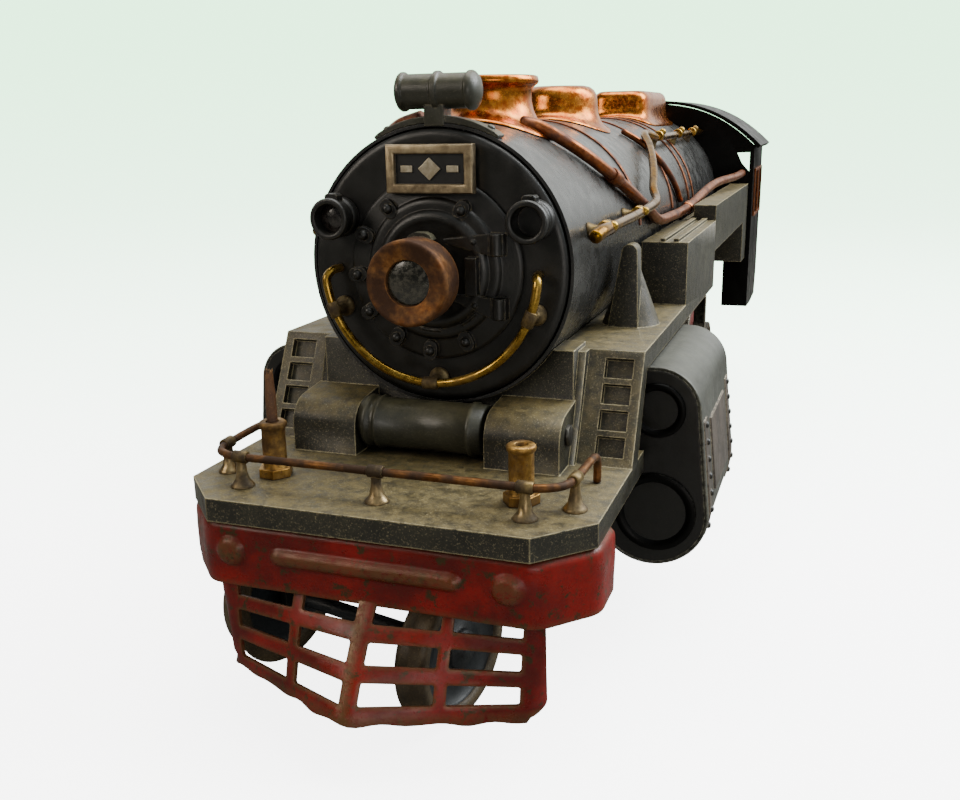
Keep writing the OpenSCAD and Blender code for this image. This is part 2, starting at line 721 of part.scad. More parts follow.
// Red spoked centre of one driving wheel, on the left, its crank at angle a
module driver_centre(a) {
    rim = driver_r - 3;
    difference() {
        union() {
            difference() {
                bar_x(wheel_x, wheel_t + 1.5, 0, 0, rim - fit_gap);
                bar_x(wheel_x - 1, wheel_t + 4, 0, 0, rim - 3.4);
            }
            bar_x(wheel_x, 9.5, 0, 0, 7);
            for (i = [0 : 11]) {
                rotate([a + 15 + i * 30, 0, 0]) translate([wheel_x + 1, -1.3, 5])
                    cube([5.6, 2.6, rim - 7]);
            }
            rotate([a, 0, 0]) translate([0, crank_r, 0]) bar_x(wheel_x, 9.5, 0, 0, 4.6);
            // counterweight opposite the crank
            rotate([a, 0, 0]) intersection() {
                bar_x(wheel_x + 0.8, 6.4, 0, 0, rim - 3);
                translate([wheel_x, -40, -11]) cube([8, 40 - 15, 22]);
            }
        }
        bar_x(wheel_x - 1, 12, 0, 0, axle_r + fit_gap);
        rotate([a, 0, 0]) translate([0, crank_r, 0]) bar_x(wheel_x - 1, 12, 0, 0, pin_r + fit_gap);
    }
}

module driver_pair(y) color("#8a2a20") translate([0, y, driver_z]) {
    driver_centre(crank_left);
    mirror([1, 0, 0]) driver_centre(crank_right);
}

module driver_tyres(y) color("#b8b4aa") both() difference() {
    turned_x(wheel_x, y, driver_z)
        polygon([[driver_r - 3, 0], [driver_r + flange_h - 0.3, 0], [driver_r + flange_h, 0.4],
            [driver_r + flange_h - 0.3, 1.2],
            [driver_r + 0.1, 1.8], [driver_r - 0.2, 8], [driver_r - 3, 8]]);
}

// Axle with its crank pins and their screw heads; reach is how far out the pins go
module driver_axle(y, reach) color("#a9a79f") translate([0, y, driver_z]) {
    bar_x(-wheel_x - 9.6, 2 * (wheel_x + 9.6), 0, 0, axle_r);
    rotate([crank_left, 0, 0]) translate([0, crank_r, 0]) crank_pin(reach);
    mirror([1, 0, 0]) rotate([crank_right, 0, 0]) translate([0, crank_r, 0]) crank_pin(reach);
}

module crank_pin(reach) {
    bar_x(wheel_x + 2, reach - wheel_x - 1, 0, 0, pin_r);
    bar_x(reach, 1.2, 0, 0, pin_r + 1.2);
}

module front_driver_wheels() driver_pair(axle1_y);
module front_driver_tyres() driver_tyres(axle1_y);
module front_driver_axle() driver_axle(axle1_y, side_rod_x + rod_t + 0.2);
module rear_driver_wheels() driver_pair(axle2_y);
module rear_driver_tyres() driver_tyres(axle2_y);
module rear_driver_axle() driver_axle(axle2_y, main_rod_x + rod_t + 0.2);

// A rod with an eye at each end, from point p to point q in (y, z), its inner face at x0
module rod(x0, len, p, q, r0, r1, w) {
    d = q - p;
    n = [-d[1], d[0]] / norm(d);
    along_x(x0, len) polygon([p + n * w, q + n * w * 0.8, q - n * w * 0.8, p - n * w]);
    bar_x(x0, len, p[0], p[1], r0);
    bar_x(x0, len, q[0], q[1], r1);
}

// Crank pin of the axle at y, on the side whose crank is at angle a
function pin_at(y, a) = [y + crank_r * cos(a), driver_z + crank_r * sin(a)];

module side_rod(a) color("#b9b4a8") {
    p = pin_at(axle1_y, a);
    q = pin_at(axle2_y, a);
    difference() {
        rod(side_rod_x, rod_t, p, q, 4.4, 4.4, 2.6);
        bar_x(side_rod_x - 1, rod_t + 2, p[0], p[1], pin_r + run_gap);
        bar_x(side_rod_x - 1, rod_t + 2, q[0], q[1], pin_r + run_gap);
    }
}

// Where the crosshead's pin stands when the crank is at angle a
function wrist_y(a) = let (q = pin_at(axle2_y, a))
    q[0] - sqrt(pow(main_rod_l, 2) - pow(q[1] - cylinder_z, 2));

module main_rod(a) color("#b9b4a8") {
    q = pin_at(axle2_y, a);
    p = [wrist_y(a), cylinder_z];
    difference() {
        rod(main_rod_x, rod_t, p, q, 3.6, 4.6, 2.4);
        bar_x(main_rod_x - 1, rod_t + 2, q[0], q[1], pin_r + run_gap);
        bar_x(main_rod_x - 1, rod_t + 2, p[0], p[1], 1.2);
    }
}

module crosshead(a) color("#b9b4a8") {
    y = wrist_y(a);
    translate([46.4, y - crosshead_l / 2, cylinder_z - 4.1]) cube([3.6, crosshead_l, 8.2]);
    bar_x(49.9, 1, y, cylinder_z, 2.2);
    bar_x(45.5, 1, y, cylinder_z, 2.2);
    bar_y(chest_y0 + chest_l - 14, y - chest_y0 - chest_l + 9, cylinder_x, cylinder_z, piston_rod_r);
}

module side_rod_left() side_rod(crank_left);
module side_rod_right() mirror([1, 0, 0]) side_rod(crank_right);
module main_rod_left() main_rod(crank_left);
module main_rod_right() mirror([1, 0, 0]) main_rod(crank_right);
module crosshead_left() crosshead(crank_left);
module crosshead_right() mirror([1, 0, 0]) crosshead(crank_right);

// Truck frame, drawn with its pivot at the origin and its axle reach mm in front of it
module truck_frame(reach, z0) {
    difference() {
        union() {
            translate([0, 0, z0]) linear_extrude(1.6) {
                polygon([[-4, 2], [4, 2], [23.2, -reach + 6], [23.2, -reach - 7], [-23.2, -reach - 7],
                    [-23.2, -reach + 6]]);
                circle(r = 6);
            }
            both() along_x(21.4, 1.8)
                polygon([[-reach - 6, z0 + 1], [-reach + 6, z0 + 1], [-reach + 4, truck_z - 4.6],
                    [-reach - 4, truck_z - 4.6]]);
        }
        translate([0, 0, z0 - 1]) cylinder(r = 1.45 + run_gap, h = 4);
        translate([-14, -reach - 3, z0 - 1]) cube([28, 20, 4]);
        bar_x(-40, 80, -reach, truck_z, truck_axle_r + run_gap);
    }
}

// Two flanged wheels and their axle, about the origin
module truck_wheelset() {
    both() turned_x(wheel_x, 0, 0)
        polygon([[truck_axle_r, 0], [truck_r - 4, 0.6], [truck_r - 3, 0], [truck_r + flange_h - 0.3, 0],
            [truck_r + flange_h, 0.5],
            [truck_r + flange_h - 0.4, 1.4], [truck_r + 0.1, 1.9], [truck_r - 0.2, wheel_t],
                [truck_r - 3, wheel_t],
            [truck_r - 3.6, wheel_t - 1.6], [5, wheel_t - 1.6], [4.6, wheel_t], [truck_axle_r, wheel_t]]);
    bar_x(-wheel_x - wheel_t - 0.8, 2 * (wheel_x + wheel_t + 0.8), 0, 0, truck_axle_r);
}

module pilot_truck_frame() color("#202122")
    translate([0, pilot_pivot_y, 0]) rotate([0, 0, pilot_swing])
        truck_frame(pilot_pivot_y - pilot_axle_y, -9.6);

module pilot_wheelset() color("#6b6250")
    translate([0, pilot_pivot_y, 0]) rotate([0, 0, pilot_swing])
        translate([0, pilot_axle_y - pilot_pivot_y, truck_z]) truck_wheelset();

module trailing_truck_frame() color("#202122")
    translate([0, trail_pivot_y, 0]) rotate([0, 0, 180]) truck_frame(trail_axle_y - trail_pivot_y, -20);

module trailing_wheelset() color("#6b6250")
    translate([0, trail_axle_y, truck_z]) truck_wheelset();

// Third-rail pickup: a sprung arm with a roller; dir is -1 for the front arm
module pickup_arm(y_hinge, dir) color("#b59a54") {
    translate([0, y_hinge, -40.2]) difference() {
        union() {
            bar_x(-15.6, 31.2, 0, 0, 0.8);
            for (x = [-11.8, 10.4]) {
                rod(x, 1.4, [0, 0], [dir * 13, -9.2], 1.8, 2, 1.6);
            }
        }
        for (x = [-11.8, 10.4]) {
            bar_x(x - 1, 3.4, dir * 13, -9.2, 1 + run_gap);
        }
    }
}

module pickup_roller(y_hinge, dir) color("#c0a865") {
    translate([0, y_hinge + dir * 13, -49.4]) {
        turned_x(-10, 0, 0) polygon([[0, 0], [5, 0], [5.2, 0.8], [4.6, 3], [4.6, 17], [5.2, 19.2],
            [5, 20], [0, 20]]);
        bar_x(-12, 24, 0, 0, 1);
    }
}

module front_pickup_arm() pickup_arm(229, -1);
module rear_pickup_arm() pickup_arm(259, 1);
module front_pickup_roller() pickup_roller(229, -1);
module rear_pickup_roller() pickup_roller(259, 1);

module drawbar() color("#77756d") {
    translate([0, 0, 13]) linear_extrude(1.8) difference() {
        union() {
            translate([0, 352]) circle(r = 5);
            translate([-4, 352]) square([8, tail_y - 352 - 5.5]);
            translate([0, tail_y - 5.5]) circle(r = 5.5);
        }
        translate([0, 352]) circle(r = 1.55);
        translate([0, tail_y - 5.5]) circle(r = 2.4);
    }
}

placed() frame_casting();
placed() air_tank();
placed() smokebox_front();
placed() smokebox_door();
placed() number_plate();
placed() headlight_housing();
placed() lamp_lenses();
placed() marker_lamps();
placed() grab_rail();
placed() boiler_shell();
placed() boiler_bands();
placed() feedwater_heater();
placed() smokestack();
placed() steam_dome();
placed() sand_dome();
placed() copper_pipes();
placed() handrails();
placed() handrail_posts();
placed() deck_rail();
placed() deck_rail_posts();
placed() flag_sockets();
placed() flag_staff();
placed() pilot();
placed() steam_chests();
placed() cylinder_heads();
placed() crosshead_guides();
placed() cab_body();
placed() cab_roof();
placed() window_frames();
placed() motor_side_plates();
placed() field_magnet();
placed() field_coil();
placed() brush_holders();
placed() pickup_plate();
placed() reverse_unit();
placed() frame_screws();
placed() armature();
placed() idler_gear();
placed() rear_drive_gear();
placed() front_driver_wheels();
placed() front_driver_tyres();
placed() front_driver_axle();
placed() rear_driver_wheels();
placed() rear_driver_tyres();
placed() rear_driver_axle();
placed() side_rod_left();
placed() side_rod_right();
placed() main_rod_left();
placed() main_rod_right();
placed() crosshead_left();
placed() crosshead_right();
placed() pilot_truck_frame();
placed() pilot_wheelset();
placed() trailing_truck_frame();
placed() trailing_wheelset();
placed() front_pickup_arm();
placed() rear_pickup_arm();
placed() front_pickup_roller();
placed() rear_pickup_roller();
placed() drawbar();
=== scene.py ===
import json
import math
import random

import bmesh
import bpy
from mathutils import Matrix, Vector, noise
from mathutils.geometry import delaunay_2d_cdt


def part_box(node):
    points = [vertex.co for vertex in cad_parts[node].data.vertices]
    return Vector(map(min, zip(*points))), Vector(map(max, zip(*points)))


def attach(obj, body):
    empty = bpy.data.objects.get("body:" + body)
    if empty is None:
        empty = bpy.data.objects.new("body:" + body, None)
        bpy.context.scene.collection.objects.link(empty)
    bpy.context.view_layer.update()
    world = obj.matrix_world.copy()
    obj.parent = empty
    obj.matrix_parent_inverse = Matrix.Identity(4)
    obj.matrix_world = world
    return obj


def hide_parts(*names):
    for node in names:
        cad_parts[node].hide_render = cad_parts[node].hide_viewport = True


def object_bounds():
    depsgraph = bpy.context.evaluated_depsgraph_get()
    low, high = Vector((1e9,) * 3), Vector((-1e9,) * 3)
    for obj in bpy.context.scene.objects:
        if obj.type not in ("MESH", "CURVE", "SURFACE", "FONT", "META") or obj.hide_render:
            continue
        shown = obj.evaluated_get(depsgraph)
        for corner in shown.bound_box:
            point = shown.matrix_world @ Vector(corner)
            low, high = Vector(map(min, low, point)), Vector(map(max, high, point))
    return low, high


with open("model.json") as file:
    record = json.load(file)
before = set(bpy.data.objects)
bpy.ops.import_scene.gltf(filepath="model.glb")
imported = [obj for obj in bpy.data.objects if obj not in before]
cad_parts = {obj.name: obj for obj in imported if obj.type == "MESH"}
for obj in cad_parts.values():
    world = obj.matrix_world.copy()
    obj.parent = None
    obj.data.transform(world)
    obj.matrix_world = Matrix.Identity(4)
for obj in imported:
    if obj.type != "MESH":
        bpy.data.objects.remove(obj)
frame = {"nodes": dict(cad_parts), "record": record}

CAD_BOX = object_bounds()
MM = 0.001
BACKDROP_GLOW = 5.2  # brightness of the surroundings as the camera sees them
BRIGHT_SIDE = (0.55, 0.35, 0.76)  # where the room's light mostly comes from
EYE, YAW, PITCH, ROLL = (93.47, -180.14, 81.83), 19.86, -15.6, -1.03  # the camera, in deck millimetres and degrees
SENSOR, LENS = 36, 37.69
random.seed(11)

# The deck frame, in millimetres: y = 0 at the deck's front edge, z = 0 on its top, x = 0 in the middle.
DECK_T = 5.6
CASTING_LOW, CASTING_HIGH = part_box("frame_casting")
TO_ROW = Matrix.Translation((0, CASTING_LOW.y, CASTING_LOW.z + DECK_T * MM)) @ Matrix.Scale(MM, 4)
FROM_ROW = TO_ROW.inverted()


def cad(node):
    """A CAD node's box in the deck frame: (low, high) in millimetres."""
    low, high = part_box(node)
    return FROM_ROW @ low, FROM_ROW @ high


SHELL_LOW, SHELL_HIGH = cad("boiler_shell")
BOILER_R = SHELL_HIGH.x
BOILER_Z = (SHELL_LOW.z + SHELL_HIGH.z) / 2
BODY_OF = {n: b for b, ns in frame["record"]["behaviour"]["bodies"].items() for n in ns}
SLOT_OF = {s["node"]: s["material_slot"] for s in frame["record"]["subparts"]}


# ---------------------------------------------------------------- materials

def rgb(code):
    """A hex colour as linear RGBA."""
    vals = [int(code[i:i + 2], 16) / 255 for i in (0, 2, 4)]
    return [v / 12.92 if v <= 0.04045 else ((v + 0.055) / 1.055) ** 2.4 for v in vals] + [1.0]


class Graph:
    """A material's node tree, with short calls for the nodes used here."""

    def __init__(self, name):
        self.mat = bpy.data.materials.new(name)
        self.mat.use_nodes = True
        self.tree = self.mat.node_tree
        self.bsdf = self.tree.nodes["Principled BSDF"]
        self.coord = self.new("ShaderNodeTexCoord").outputs["Object"]

    def new(self, kind, **props):
        n = self.tree.nodes.new(kind)
        for k, v in props.items():
            setattr(n, k, v)
        return n

    def put(self, socket, value):
        if isinstance(value, bpy.types.NodeSocket):
            self.tree.links.new(value, socket)
        else:
            socket.default_value = value

    def noise(self, size, detail=4, rough=0.55, stretch=None, distort=0.0):
        """Noise whose features are about size millimetres; stretch lengthens them along x, y or z."""
        n = self.new("ShaderNodeTexNoise")
        vec = self.coord
        if stretch:
            m = self.new("ShaderNodeMapping")
            self.put(m.inputs["Vector"], vec)
            m.inputs["Scale"].default_value = [1 / s for s in stretch]
            vec = m.outputs["Vector"]
        self.put(n.inputs["Vector"], vec)
        n.inputs["Scale"].default_value = 1 / (size * MM)
        n.inputs["Detail"].default_value = detail
        n.inputs["Roughness"].default_value = rough
        n.inputs["Distortion"].default_value = distort
        return n.outputs["Fac"]

    def ramp(self, fac, lo, hi, a=0.0, b=1.0):
        n = self.new("ShaderNodeMapRange", interpolation_type="SMOOTHSTEP")
        for key, v in (("Value", fac), ("From Min", lo), ("From Max", hi), ("To Min", a), ("To Max", b)):
            self.put(n.inputs[key], v)
        return n.outputs["Result"]

    def math(self, op, a, b=0.0):
        n = self.new("ShaderNodeMath", operation=op, use_clamp=True)
        self.put(n.inputs[0], a)
        self.put(n.inputs[1], b)
        return n.outputs[0]

    def mix(self, fac, a, b):
        n = self.new("ShaderNodeMix", data_type="RGBA")
        self.put(n.inputs[0], fac)
        self.put(n.inputs[6], a)
        self.put(n.inputs[7], b)
        return n.outputs[2]

    def edges(self, radius):
        """1 on convex and concave edges of the mesh, 0 on its flats; radius in millimetres."""
        bevel = self.new("ShaderNodeBevel", samples=4)
        bevel.inputs["Radius"].default_value = radius * MM
        geo = self.new("ShaderNodeNewGeometry")
        dot = self.new("ShaderNodeVectorMath", operation="DOT_PRODUCT")
        self.put(dot.inputs[0], bevel.outputs["Normal"])
        self.put(dot.inputs[1], geo.outputs["Normal"])
        return self.ramp(dot.outputs["Value"], 0.995, 0.9)

    def soft_normal(self, radius=0.22):
        bevel = self.new("ShaderNodeBevel", samples=4)
        bevel.inputs["Radius"].default_value = radius * MM
        return bevel.outputs["Normal"]

    def facing_up(self, lo=0.2, hi=0.9):
        geo = self.new("ShaderNodeNewGeometry")
        split = self.new("ShaderNodeSeparateXYZ")
        self.put(split.inputs[0], geo.outputs["Normal"])
        return self.ramp(split.outputs["Z"], lo, hi)

    def crevice(self, dist):
        ao = self.new("ShaderNodeAmbientOcclusion", samples=4)
        ao.inputs["Distance"].default_value = dist * MM
        return self.ramp(ao.outputs["AO"], 0.95, 0.35)

    def bump(self, height, distance, strength=1.0, under=None):
        n = self.new("ShaderNodeBump")
        self.put(n.inputs["Height"], height)
        n.inputs["Distance"].default_value = distance * MM
        n.inputs["Strength"].default_value = strength
        if under is not None:
            self.put(n.inputs["Normal"], under)
        return n.outputs["Normal"]

    def done(self, color, rough, metallic=0.0, normal=None, **extra):
        self.put(self.bsdf.inputs["Base Color"], color)
        self.put(self.bsdf.inputs["Roughness"], rough)
        self.put(self.bsdf.inputs["Metallic"], metallic)
        if normal is not None:
            self.put(self.bsdf.inputs["Normal"], normal)
        for k, v in extra.items():
            self.put(self.bsdf.inputs[k.replace("_", " ")], v)
        return self.mat


def painted(name, base, dark, dust, bare, rough=0.45, dusty=0.5, wear=0.6, grain=0.05, sand=0.3, wavy=0.12,
            rust=None, rusty=0.0, nicked=0.6, grit=0.5, gloss=0.5, patchy=0.0):
    """Old enamel on metal: blotched colour, fine grit, dust on top (in the red paint partly painted highlight),
    painted shade in corners and crevices, worn edges.
    """
    g = Graph(name)
    col = g.mix(g.ramp(g.noise(13, 5, 0.6), 0.3, 0.72), rgb(dark), rgb(base))
    col = g.mix(g.ramp(g.noise(0.9, 3, 0.7), 0.48, 0.72, 0, grit), col, rgb(dark))
    if rust:
        patch = g.ramp(g.noise(3.2, 7, 0.7), 0.66 - 0.16 * rusty, 0.74 - 0.14 * rusty)
        col = g.mix(patch, col, rgb(rust))
        blots = g.ramp(g.noise(1.1, 5, 0.7), 0.62, 0.7, 0, 0.85)
        col = g.mix(blots, col, rgb(rust))
    drifts = g.ramp(g.noise(3.0, 7, 0.75), 0.28 + 0.1 * patchy, 0.7 - 0.08 * patchy, 0.3 - 0.3 * patchy, 1.0)
    # dust on upward faces; in the red paint its pale pink dust also serves as painted highlight on the bead and the
    # fold
    dust_and_sheen_mask = g.math("MULTIPLY", g.facing_up(0.1, 0.95), drifts)
    dust_and_sheen_mask = g.math("MULTIPLY", dust_and_sheen_mask, dusty)
    col = g.mix(dust_and_sheen_mask, col, rgb(dust))
    col = g.mix(g.ramp(g.noise(0.42, 4, 0.8), 0.56, 0.66, 0, sand), col, rgb(bare))
    # painted shade: corners and crevices found by ambient occlusion are darkened towards near-black
    crevice_shade = g.math("MULTIPLY", g.crevice(2.4), 0.8)
    col = g.mix(crevice_shade, col, [c * 0.3 for c in rgb(dark)[:3]] + [1.0])
    rubbed = g.new("ShaderNodeAttribute", attribute_name="wear").outputs["Fac"]
    worn = g.math("MAXIMUM", g.edges(0.55), rubbed)
    chips = g.math("MULTIPLY", worn, g.ramp(g.noise(1.5, 6, 0.75), 0.6 - 0.3 * wear, 0.74 - 0.2 * wear))
    nicks = g.ramp(g.noise(0.6, 4, 0.75, stretch=(1, 2.5, 1)), 0.74, 0.775)
    chips = g.math("MAXIMUM", chips, g.math("MULTIPLY", nicks, nicked))
    col = g.mix(chips, col, rgb(bare))
    r = g.math("ADD", g.ramp(g.noise(5, 5, 0.6), 0.3, 0.75, rough - 0.08, rough + 0.12), g.math("MULTIPLY",
                                                                                                dust_and_sheen_mask, 0.3))
    fine = g.bump(g.noise(0.34, 3, 0.6), grain, 0.6, g.soft_normal())
    broad = g.bump(g.noise(6, 4, 0.5), wavy, 0.35, fine)
    chip_n = g.bump(g.math("SUBTRACT", 1.0, chips), 0.06, 0.7, broad)
    g.bsdf.inputs["Specular IOR Level"].default_value = gloss
    return g.done(col, r, g.math("MULTIPLY", chips, 0.25), chip_n)


def bright(name, base, patina, shine, rough=0.28, old=0.5, flaky=0.0, pitted=0.03, spotty=0.5, corners=0.9,
           edged=True):
    """Bare copper, brass or nickel under patina, brightest where hands rub it."""
    g = Graph(name)
    lo = 0.68 - 0.3 * old
    cover = g.ramp(g.noise(8, 5, 0.62), lo - 0.14, lo + 0.16)
    cover = g.math("MAXIMUM", cover, g.math("MULTIPLY", g.crevice(2.0), corners))
    if flaky:
        flakes = g.ramp(g.noise(1.3, 6, 0.72), 0.56 - 0.12 * flaky, 0.62)
        cover = g.math("MAXIMUM", cover, g.math("MULTIPLY", flakes, flaky))
    spots = g.ramp(g.noise(0.55, 4, 0.7), 0.6, 0.72)
    cover = g.math("MAXIMUM", cover, g.math("MULTIPLY", spots, spotty))
    if edged:
        cover = g.math("SUBTRACT", cover, g.math("MULTIPLY", g.edges(0.4), 0.6))
    col = g.mix(g.ramp(g.noise(2.4, 4, 0.6), 0.3, 0.75), rgb(base), rgb(shine))
    col = g.mix(cover, col, rgb(patina))
    r = g.ramp(cover, 0.0, 1.0, rough, rough + 0.27)
    r = g.math("ADD", r, g.ramp(g.noise(1.2, 4, 0.6), 0.3, 0.8, -0.05, 0.1))
    fine = g.bump(g.noise(0.3, 3, 0.6), pitted, 0.4, g.soft_normal() if edged else None)
    return g.done(col, r, g.ramp(cover, 0.0, 1.0, 1.0, 0.55), fine)


def glassy(name, tint, rough, dust):
    g = Graph(name)
    film = g.ramp(g.noise(1.4, 6, 0.7), 0.35, 0.7)
    col = g.mix(film, rgb(tint), rgb(dust))
    r = g.ramp(film, 0, 1, rough, rough + 0.35)
    return g.done(col, r, 0.0, g.bump(g.noise(1.0, 3, 0.6), 0.03, 0.4), Coat_Weight=0.6, Coat_Roughness=0.12)


MATS = {
    "gunmetal": painted("boiler_enamel", "2f2f2e", "272726", "504f49", "6f706c", rough=0.25, dusty=0.25, wear=0.0,
                        sand=0.1, wavy=0.02, grain=0.03, nicked=0.0),
    "deck_paint": painted("deck_enamel", "2b2a1e", "12120b", "70623a", "b3a781", rough=0.42, dusty=0.85, wear=1.0,
                          grain=0.18, sand=0.42, grit=0.9, patchy=0.4),
    "tank_paint": painted("tank_enamel", "35352a", "22221a", "6a6549", "7d7762", rough=0.36, dusty=0.5, wear=0.5,
                          sand=0.2),
    "front_black": painted("smokebox_black", "12120f", "090907", "2b281e", "5d543f", rough=0.4, dusty=0.25, wear=0.5,
                           sand=0.12),
    "black_paint": painted("gloss_black", "070706", "040403", "1a1916", "3d3b35", rough=0.36, dusty=0.15, wear=0.4,
                           sand=0.05,
                           gloss=0.1),
    "chest_paint": painted("chest_enamel", "3b3d36", "272822", "6c6b5d", "9d9a88", rough=0.45, dusty=0.35, wear=0.7,
                           sand=0.15),
    "chest_side": painted("chest_side", "4a4038", "2c2621", "6c6152", "9a8e7a", rough=0.5, dusty=0.2, wear=0.8,
                          sand=0.3),
    "copper": bright("polished_copper", "a04d18", "68320f", "cc8338", rough=0.24, old=0.1, spotty=0.05, corners=0.9,
                     edged=False),
    "aged_copper": bright("aged_copper", "7a4426", "45261a", "a8683e", rough=0.32, old=0.5, flaky=0.15, spotty=0.2,
                          corners=0.6,
                          edged=False),
    "rail_copper": bright("rail_copper", "5f3c20", "33200f", "93663a", rough=0.4, old=0.8, flaky=0.5),
    "lamp_copper": bright("lamp_copper", "6f4526", "3e2615", "a87848", rough=0.46, old=0.8, flaky=0.6, pitted=0.12),
    "brass": bright("worn_brass", "8a6824", "5a441c", "bd9a48", rough=0.24, old=0.3, spotty=0.1, corners=0.5,
                    pitted=0.0,
                    edged=False),
    "rail_brass": bright("rail_brass", "6b4605", "34250a", "936b12", rough=0.2, old=0.3, spotty=0.05, corners=0.6,
                         pitted=0.0, edged=False),
    "dull_brass": bright("dull_brass", "6d5a35", "35291a", "a08a5c", rough=0.4, old=0.75, flaky=0.4),
    "socket_brass": bright("socket_brass", "8c6834", "4a3418", "c49c58", rough=0.4, old=0.6, flaky=0.6),
    "grey_metal": bright("grey_metal", "776547", "3b3122", "ad986e", rough=0.36, old=0.6, flaky=0.3),
    "plate_metal": bright("plate_metal", "96856a", "5b4d36", "c0ae8c", rough=0.4, old=0.5),
    "plate_cream": bright("plate_cream", "b0a58e", "73684f", "d8cfb8", rough=0.4, old=0.4),
    "plate_black": painted("plate_black", "0a0a09", "050505", "26241d", "1c1b19", rough=0.5, dusty=0.1, wear=0.1,
                           sand=0.05),
    "lens": glassy("dusty_glass", "11110d", 0.12, "3a372c"),
    "ruby": glassy("ruby_glass", "0c0706", 0.2, "231c18"),
    "staff": painted("weathered_wood", "6b4423", "3c2412", "7a6040", "a87f4c", rough=0.6, dusty=0.2, wear=0.6,
                     grain=0.14,
                     sand=0.4),
    # pale pink dust on upward faces, partly painted highlight on the bead and the fold
    "red_paint": painted("pilot_red", "80100a", "4c0805", "a06c50", "5e4228", rough=0.33, dusty=0.18, wear=1.0,
                         rust="33270f", rusty=0.75, sand=0.2, wavy=0.2, gloss=0.3),
    "wheel_red": painted("wheel_red", "701510", "420c09", "59463a", "7c6b58", rough=0.42, dusty=0.25, wear=0.6,
                         sand=0.1),
    "nickel": bright("dull_nickel", "857f70", "4d463a", "b5ad9b", rough=0.3, old=0.25, spotty=0.2, corners=0.6),
    "steel": bright("oiled_steel", "4a4843", "2f2d28", "6e6b63", rough=0.4, old=0.4, spotty=0.3, corners=0.7),
    "tread": painted("tan_tread", "5f5038", "3e3424", "6f6248", "8f7d5c", rough=0.55, dusty=0.2, wear=0.6,
                     grain=0.14, sand=0.5),
    "wheel_dark": painted("wheel_blue_black", "1f262b", "14181b", "45433b", "66665f", rough=0.42, dusty=0.3, wear=0.6,
                          sand=0.15),
    "winding": bright("enamelled_wire", "6b3216", "30170b", "9a552b", rough=0.3, old=0.4),
    "fibre": painted("fibre_board", "35241a", "22170f", "564a3a", "4b3a2a", rough=0.7, dusty=0.3, wear=0.3, sand=0.3),
    "truck_steel": painted("truck_black", "141411", "0b0b09", "39362c", "524e44", rough=0.5, dusty=0.4, wear=0.6,
                           sand=0.15),
}


# ---------------------------------------------------------------- mesh pieces

def transform(verts, m):
    return [m @ Vector(v) for v in verts]


def turned(profile, steps=64, z_of=None):
    """A profile of (radius, height) turned about z; z_of(x, y, h) may bend each height."""
    verts, faces, rings = [], [], []
    for r, h in profile:
        if r < 1e-6:
            rings.append([len(verts)])
            verts.append(Vector((0, 0, z_of(0, 0, h) if z_of else h)))
            continue
        ring = []
        for i in range(steps):
            a = 2 * math.pi * i / steps
            x, y = r * math.cos(a), r * math.sin(a)
            ring.append(len(verts))
            verts.append(Vector((x, y, z_of(x, y, h) if z_of else h)))
        rings.append(ring)
    for a, b in zip(rings, rings[1:]):
        for i in range(steps):
            j = (i + 1) % steps
            if len(a) == 1 and len(b) > 1:
                faces.append((a[0], b[j], b[i]))
            elif len(b) == 1 and len(a) > 1:
                faces.append((a[i], a[j], b[0]))
            elif len(a) > 1:
                faces.append((a[i], a[j], b[j], b[i]))
    return verts, faces


def along(axis):
    """Turns +z to the given direction."""
    return Vector((0, 0, 1)).rotation_difference(Vector(axis).normalized()).to_matrix().to_4x4()


def at(x, y, z, axis=(0, 0, 1), scale=1.0):
    return Matrix.Translation((x, y, z)) @ along(axis) @ Matrix.Scale(scale, 4)


def round_arc(c, r, a0, a1, n=6):
    """Points of an arc about c = (a, b), degrees a0 to a1."""
    step = (a1 - a0) / n
    return [(c[0] + r * math.cos(math.radians(a0 + i * step)), c[1] + r * math.sin(math.radians(a0 + i * step)))
            for i in range(n + 1)]


def smooth_path(points, per=6):
    """A Catmull-Rom curve through points."""
    pts = [Vector(p) for p in points]
    ext = [pts[0] * 2 - pts[1]] + pts + [pts[-1] * 2 - pts[-2]]
    out = []
    for i in range(1, len(ext) - 2):
        p0, p1, p2, p3 = ext[i - 1:i + 3]
        for k in range(per):
            t = k / per
            out.append(0.5 * ((2 * p1) + (p2 - p0) * t + (2 * p0 - 5 * p1 + 4 * p2 - p3) * t * t
                              + (3 * p1 - p0 - 3 * p2 + p3) * t ** 3))
    out.append(pts[-1])
    return out


def tube(points, radius, sides=18, caps=True, smooth=6, wobble=0.0):
    """Round wire or pipe along a path, its ends rounded over."""
    path = smooth_path(points, smooth) if smooth else [Vector(p) for p in points]
    verts, faces = [], []
    tangents = []
    for i in range(len(path)):
        a, b = path[max(0, i - 1)], path[min(len(path) - 1, i + 1)]
        tangents.append((b - a).normalized())
    up = tangents[0].orthogonal().normalized()
    stations = []
    for p, t in zip(path, tangents):
        up = (up - t * up.dot(t)).normalized()
        stations.append((p, t, up.copy(), radius))
    if caps:
        p, t, u, r = stations[0]
        stations = [(p - t * r * 0.45, t, u, r * 0.55), (p - t * r * 0.25, t, u, r * 0.85)] + stations
        p, t, u, r = stations[-1]
        stations += [(p + t * r * 0.25, t, u, r * 0.85), (p + t * r * 0.45, t, u, r * 0.55)]
    for k, (p, t, u, r) in enumerate(stations):
        v = t.cross(u)
        for i in range(sides):
            a = 2 * math.pi * i / sides
            rr = r * (1 + wobble * noise.noise(p * 0.35 + Vector((i * 0.4, 0, 0))))
            verts.append(p + u * rr * math.cos(a) + v * rr * math.sin(a))
    for k in range(len(stations) - 1):
        for i in range(sides):
            j = (i + 1) % sides
            faces.append((k * sides + i, k * sides + j, (k + 1) * sides + j, (k + 1) * sides + i))
    last = (len(stations) - 1) * sides
    faces.append(tuple(range(sides - 1, -1, -1)))
    faces.append(tuple(last + i for i in range(sides)))
    return verts, faces


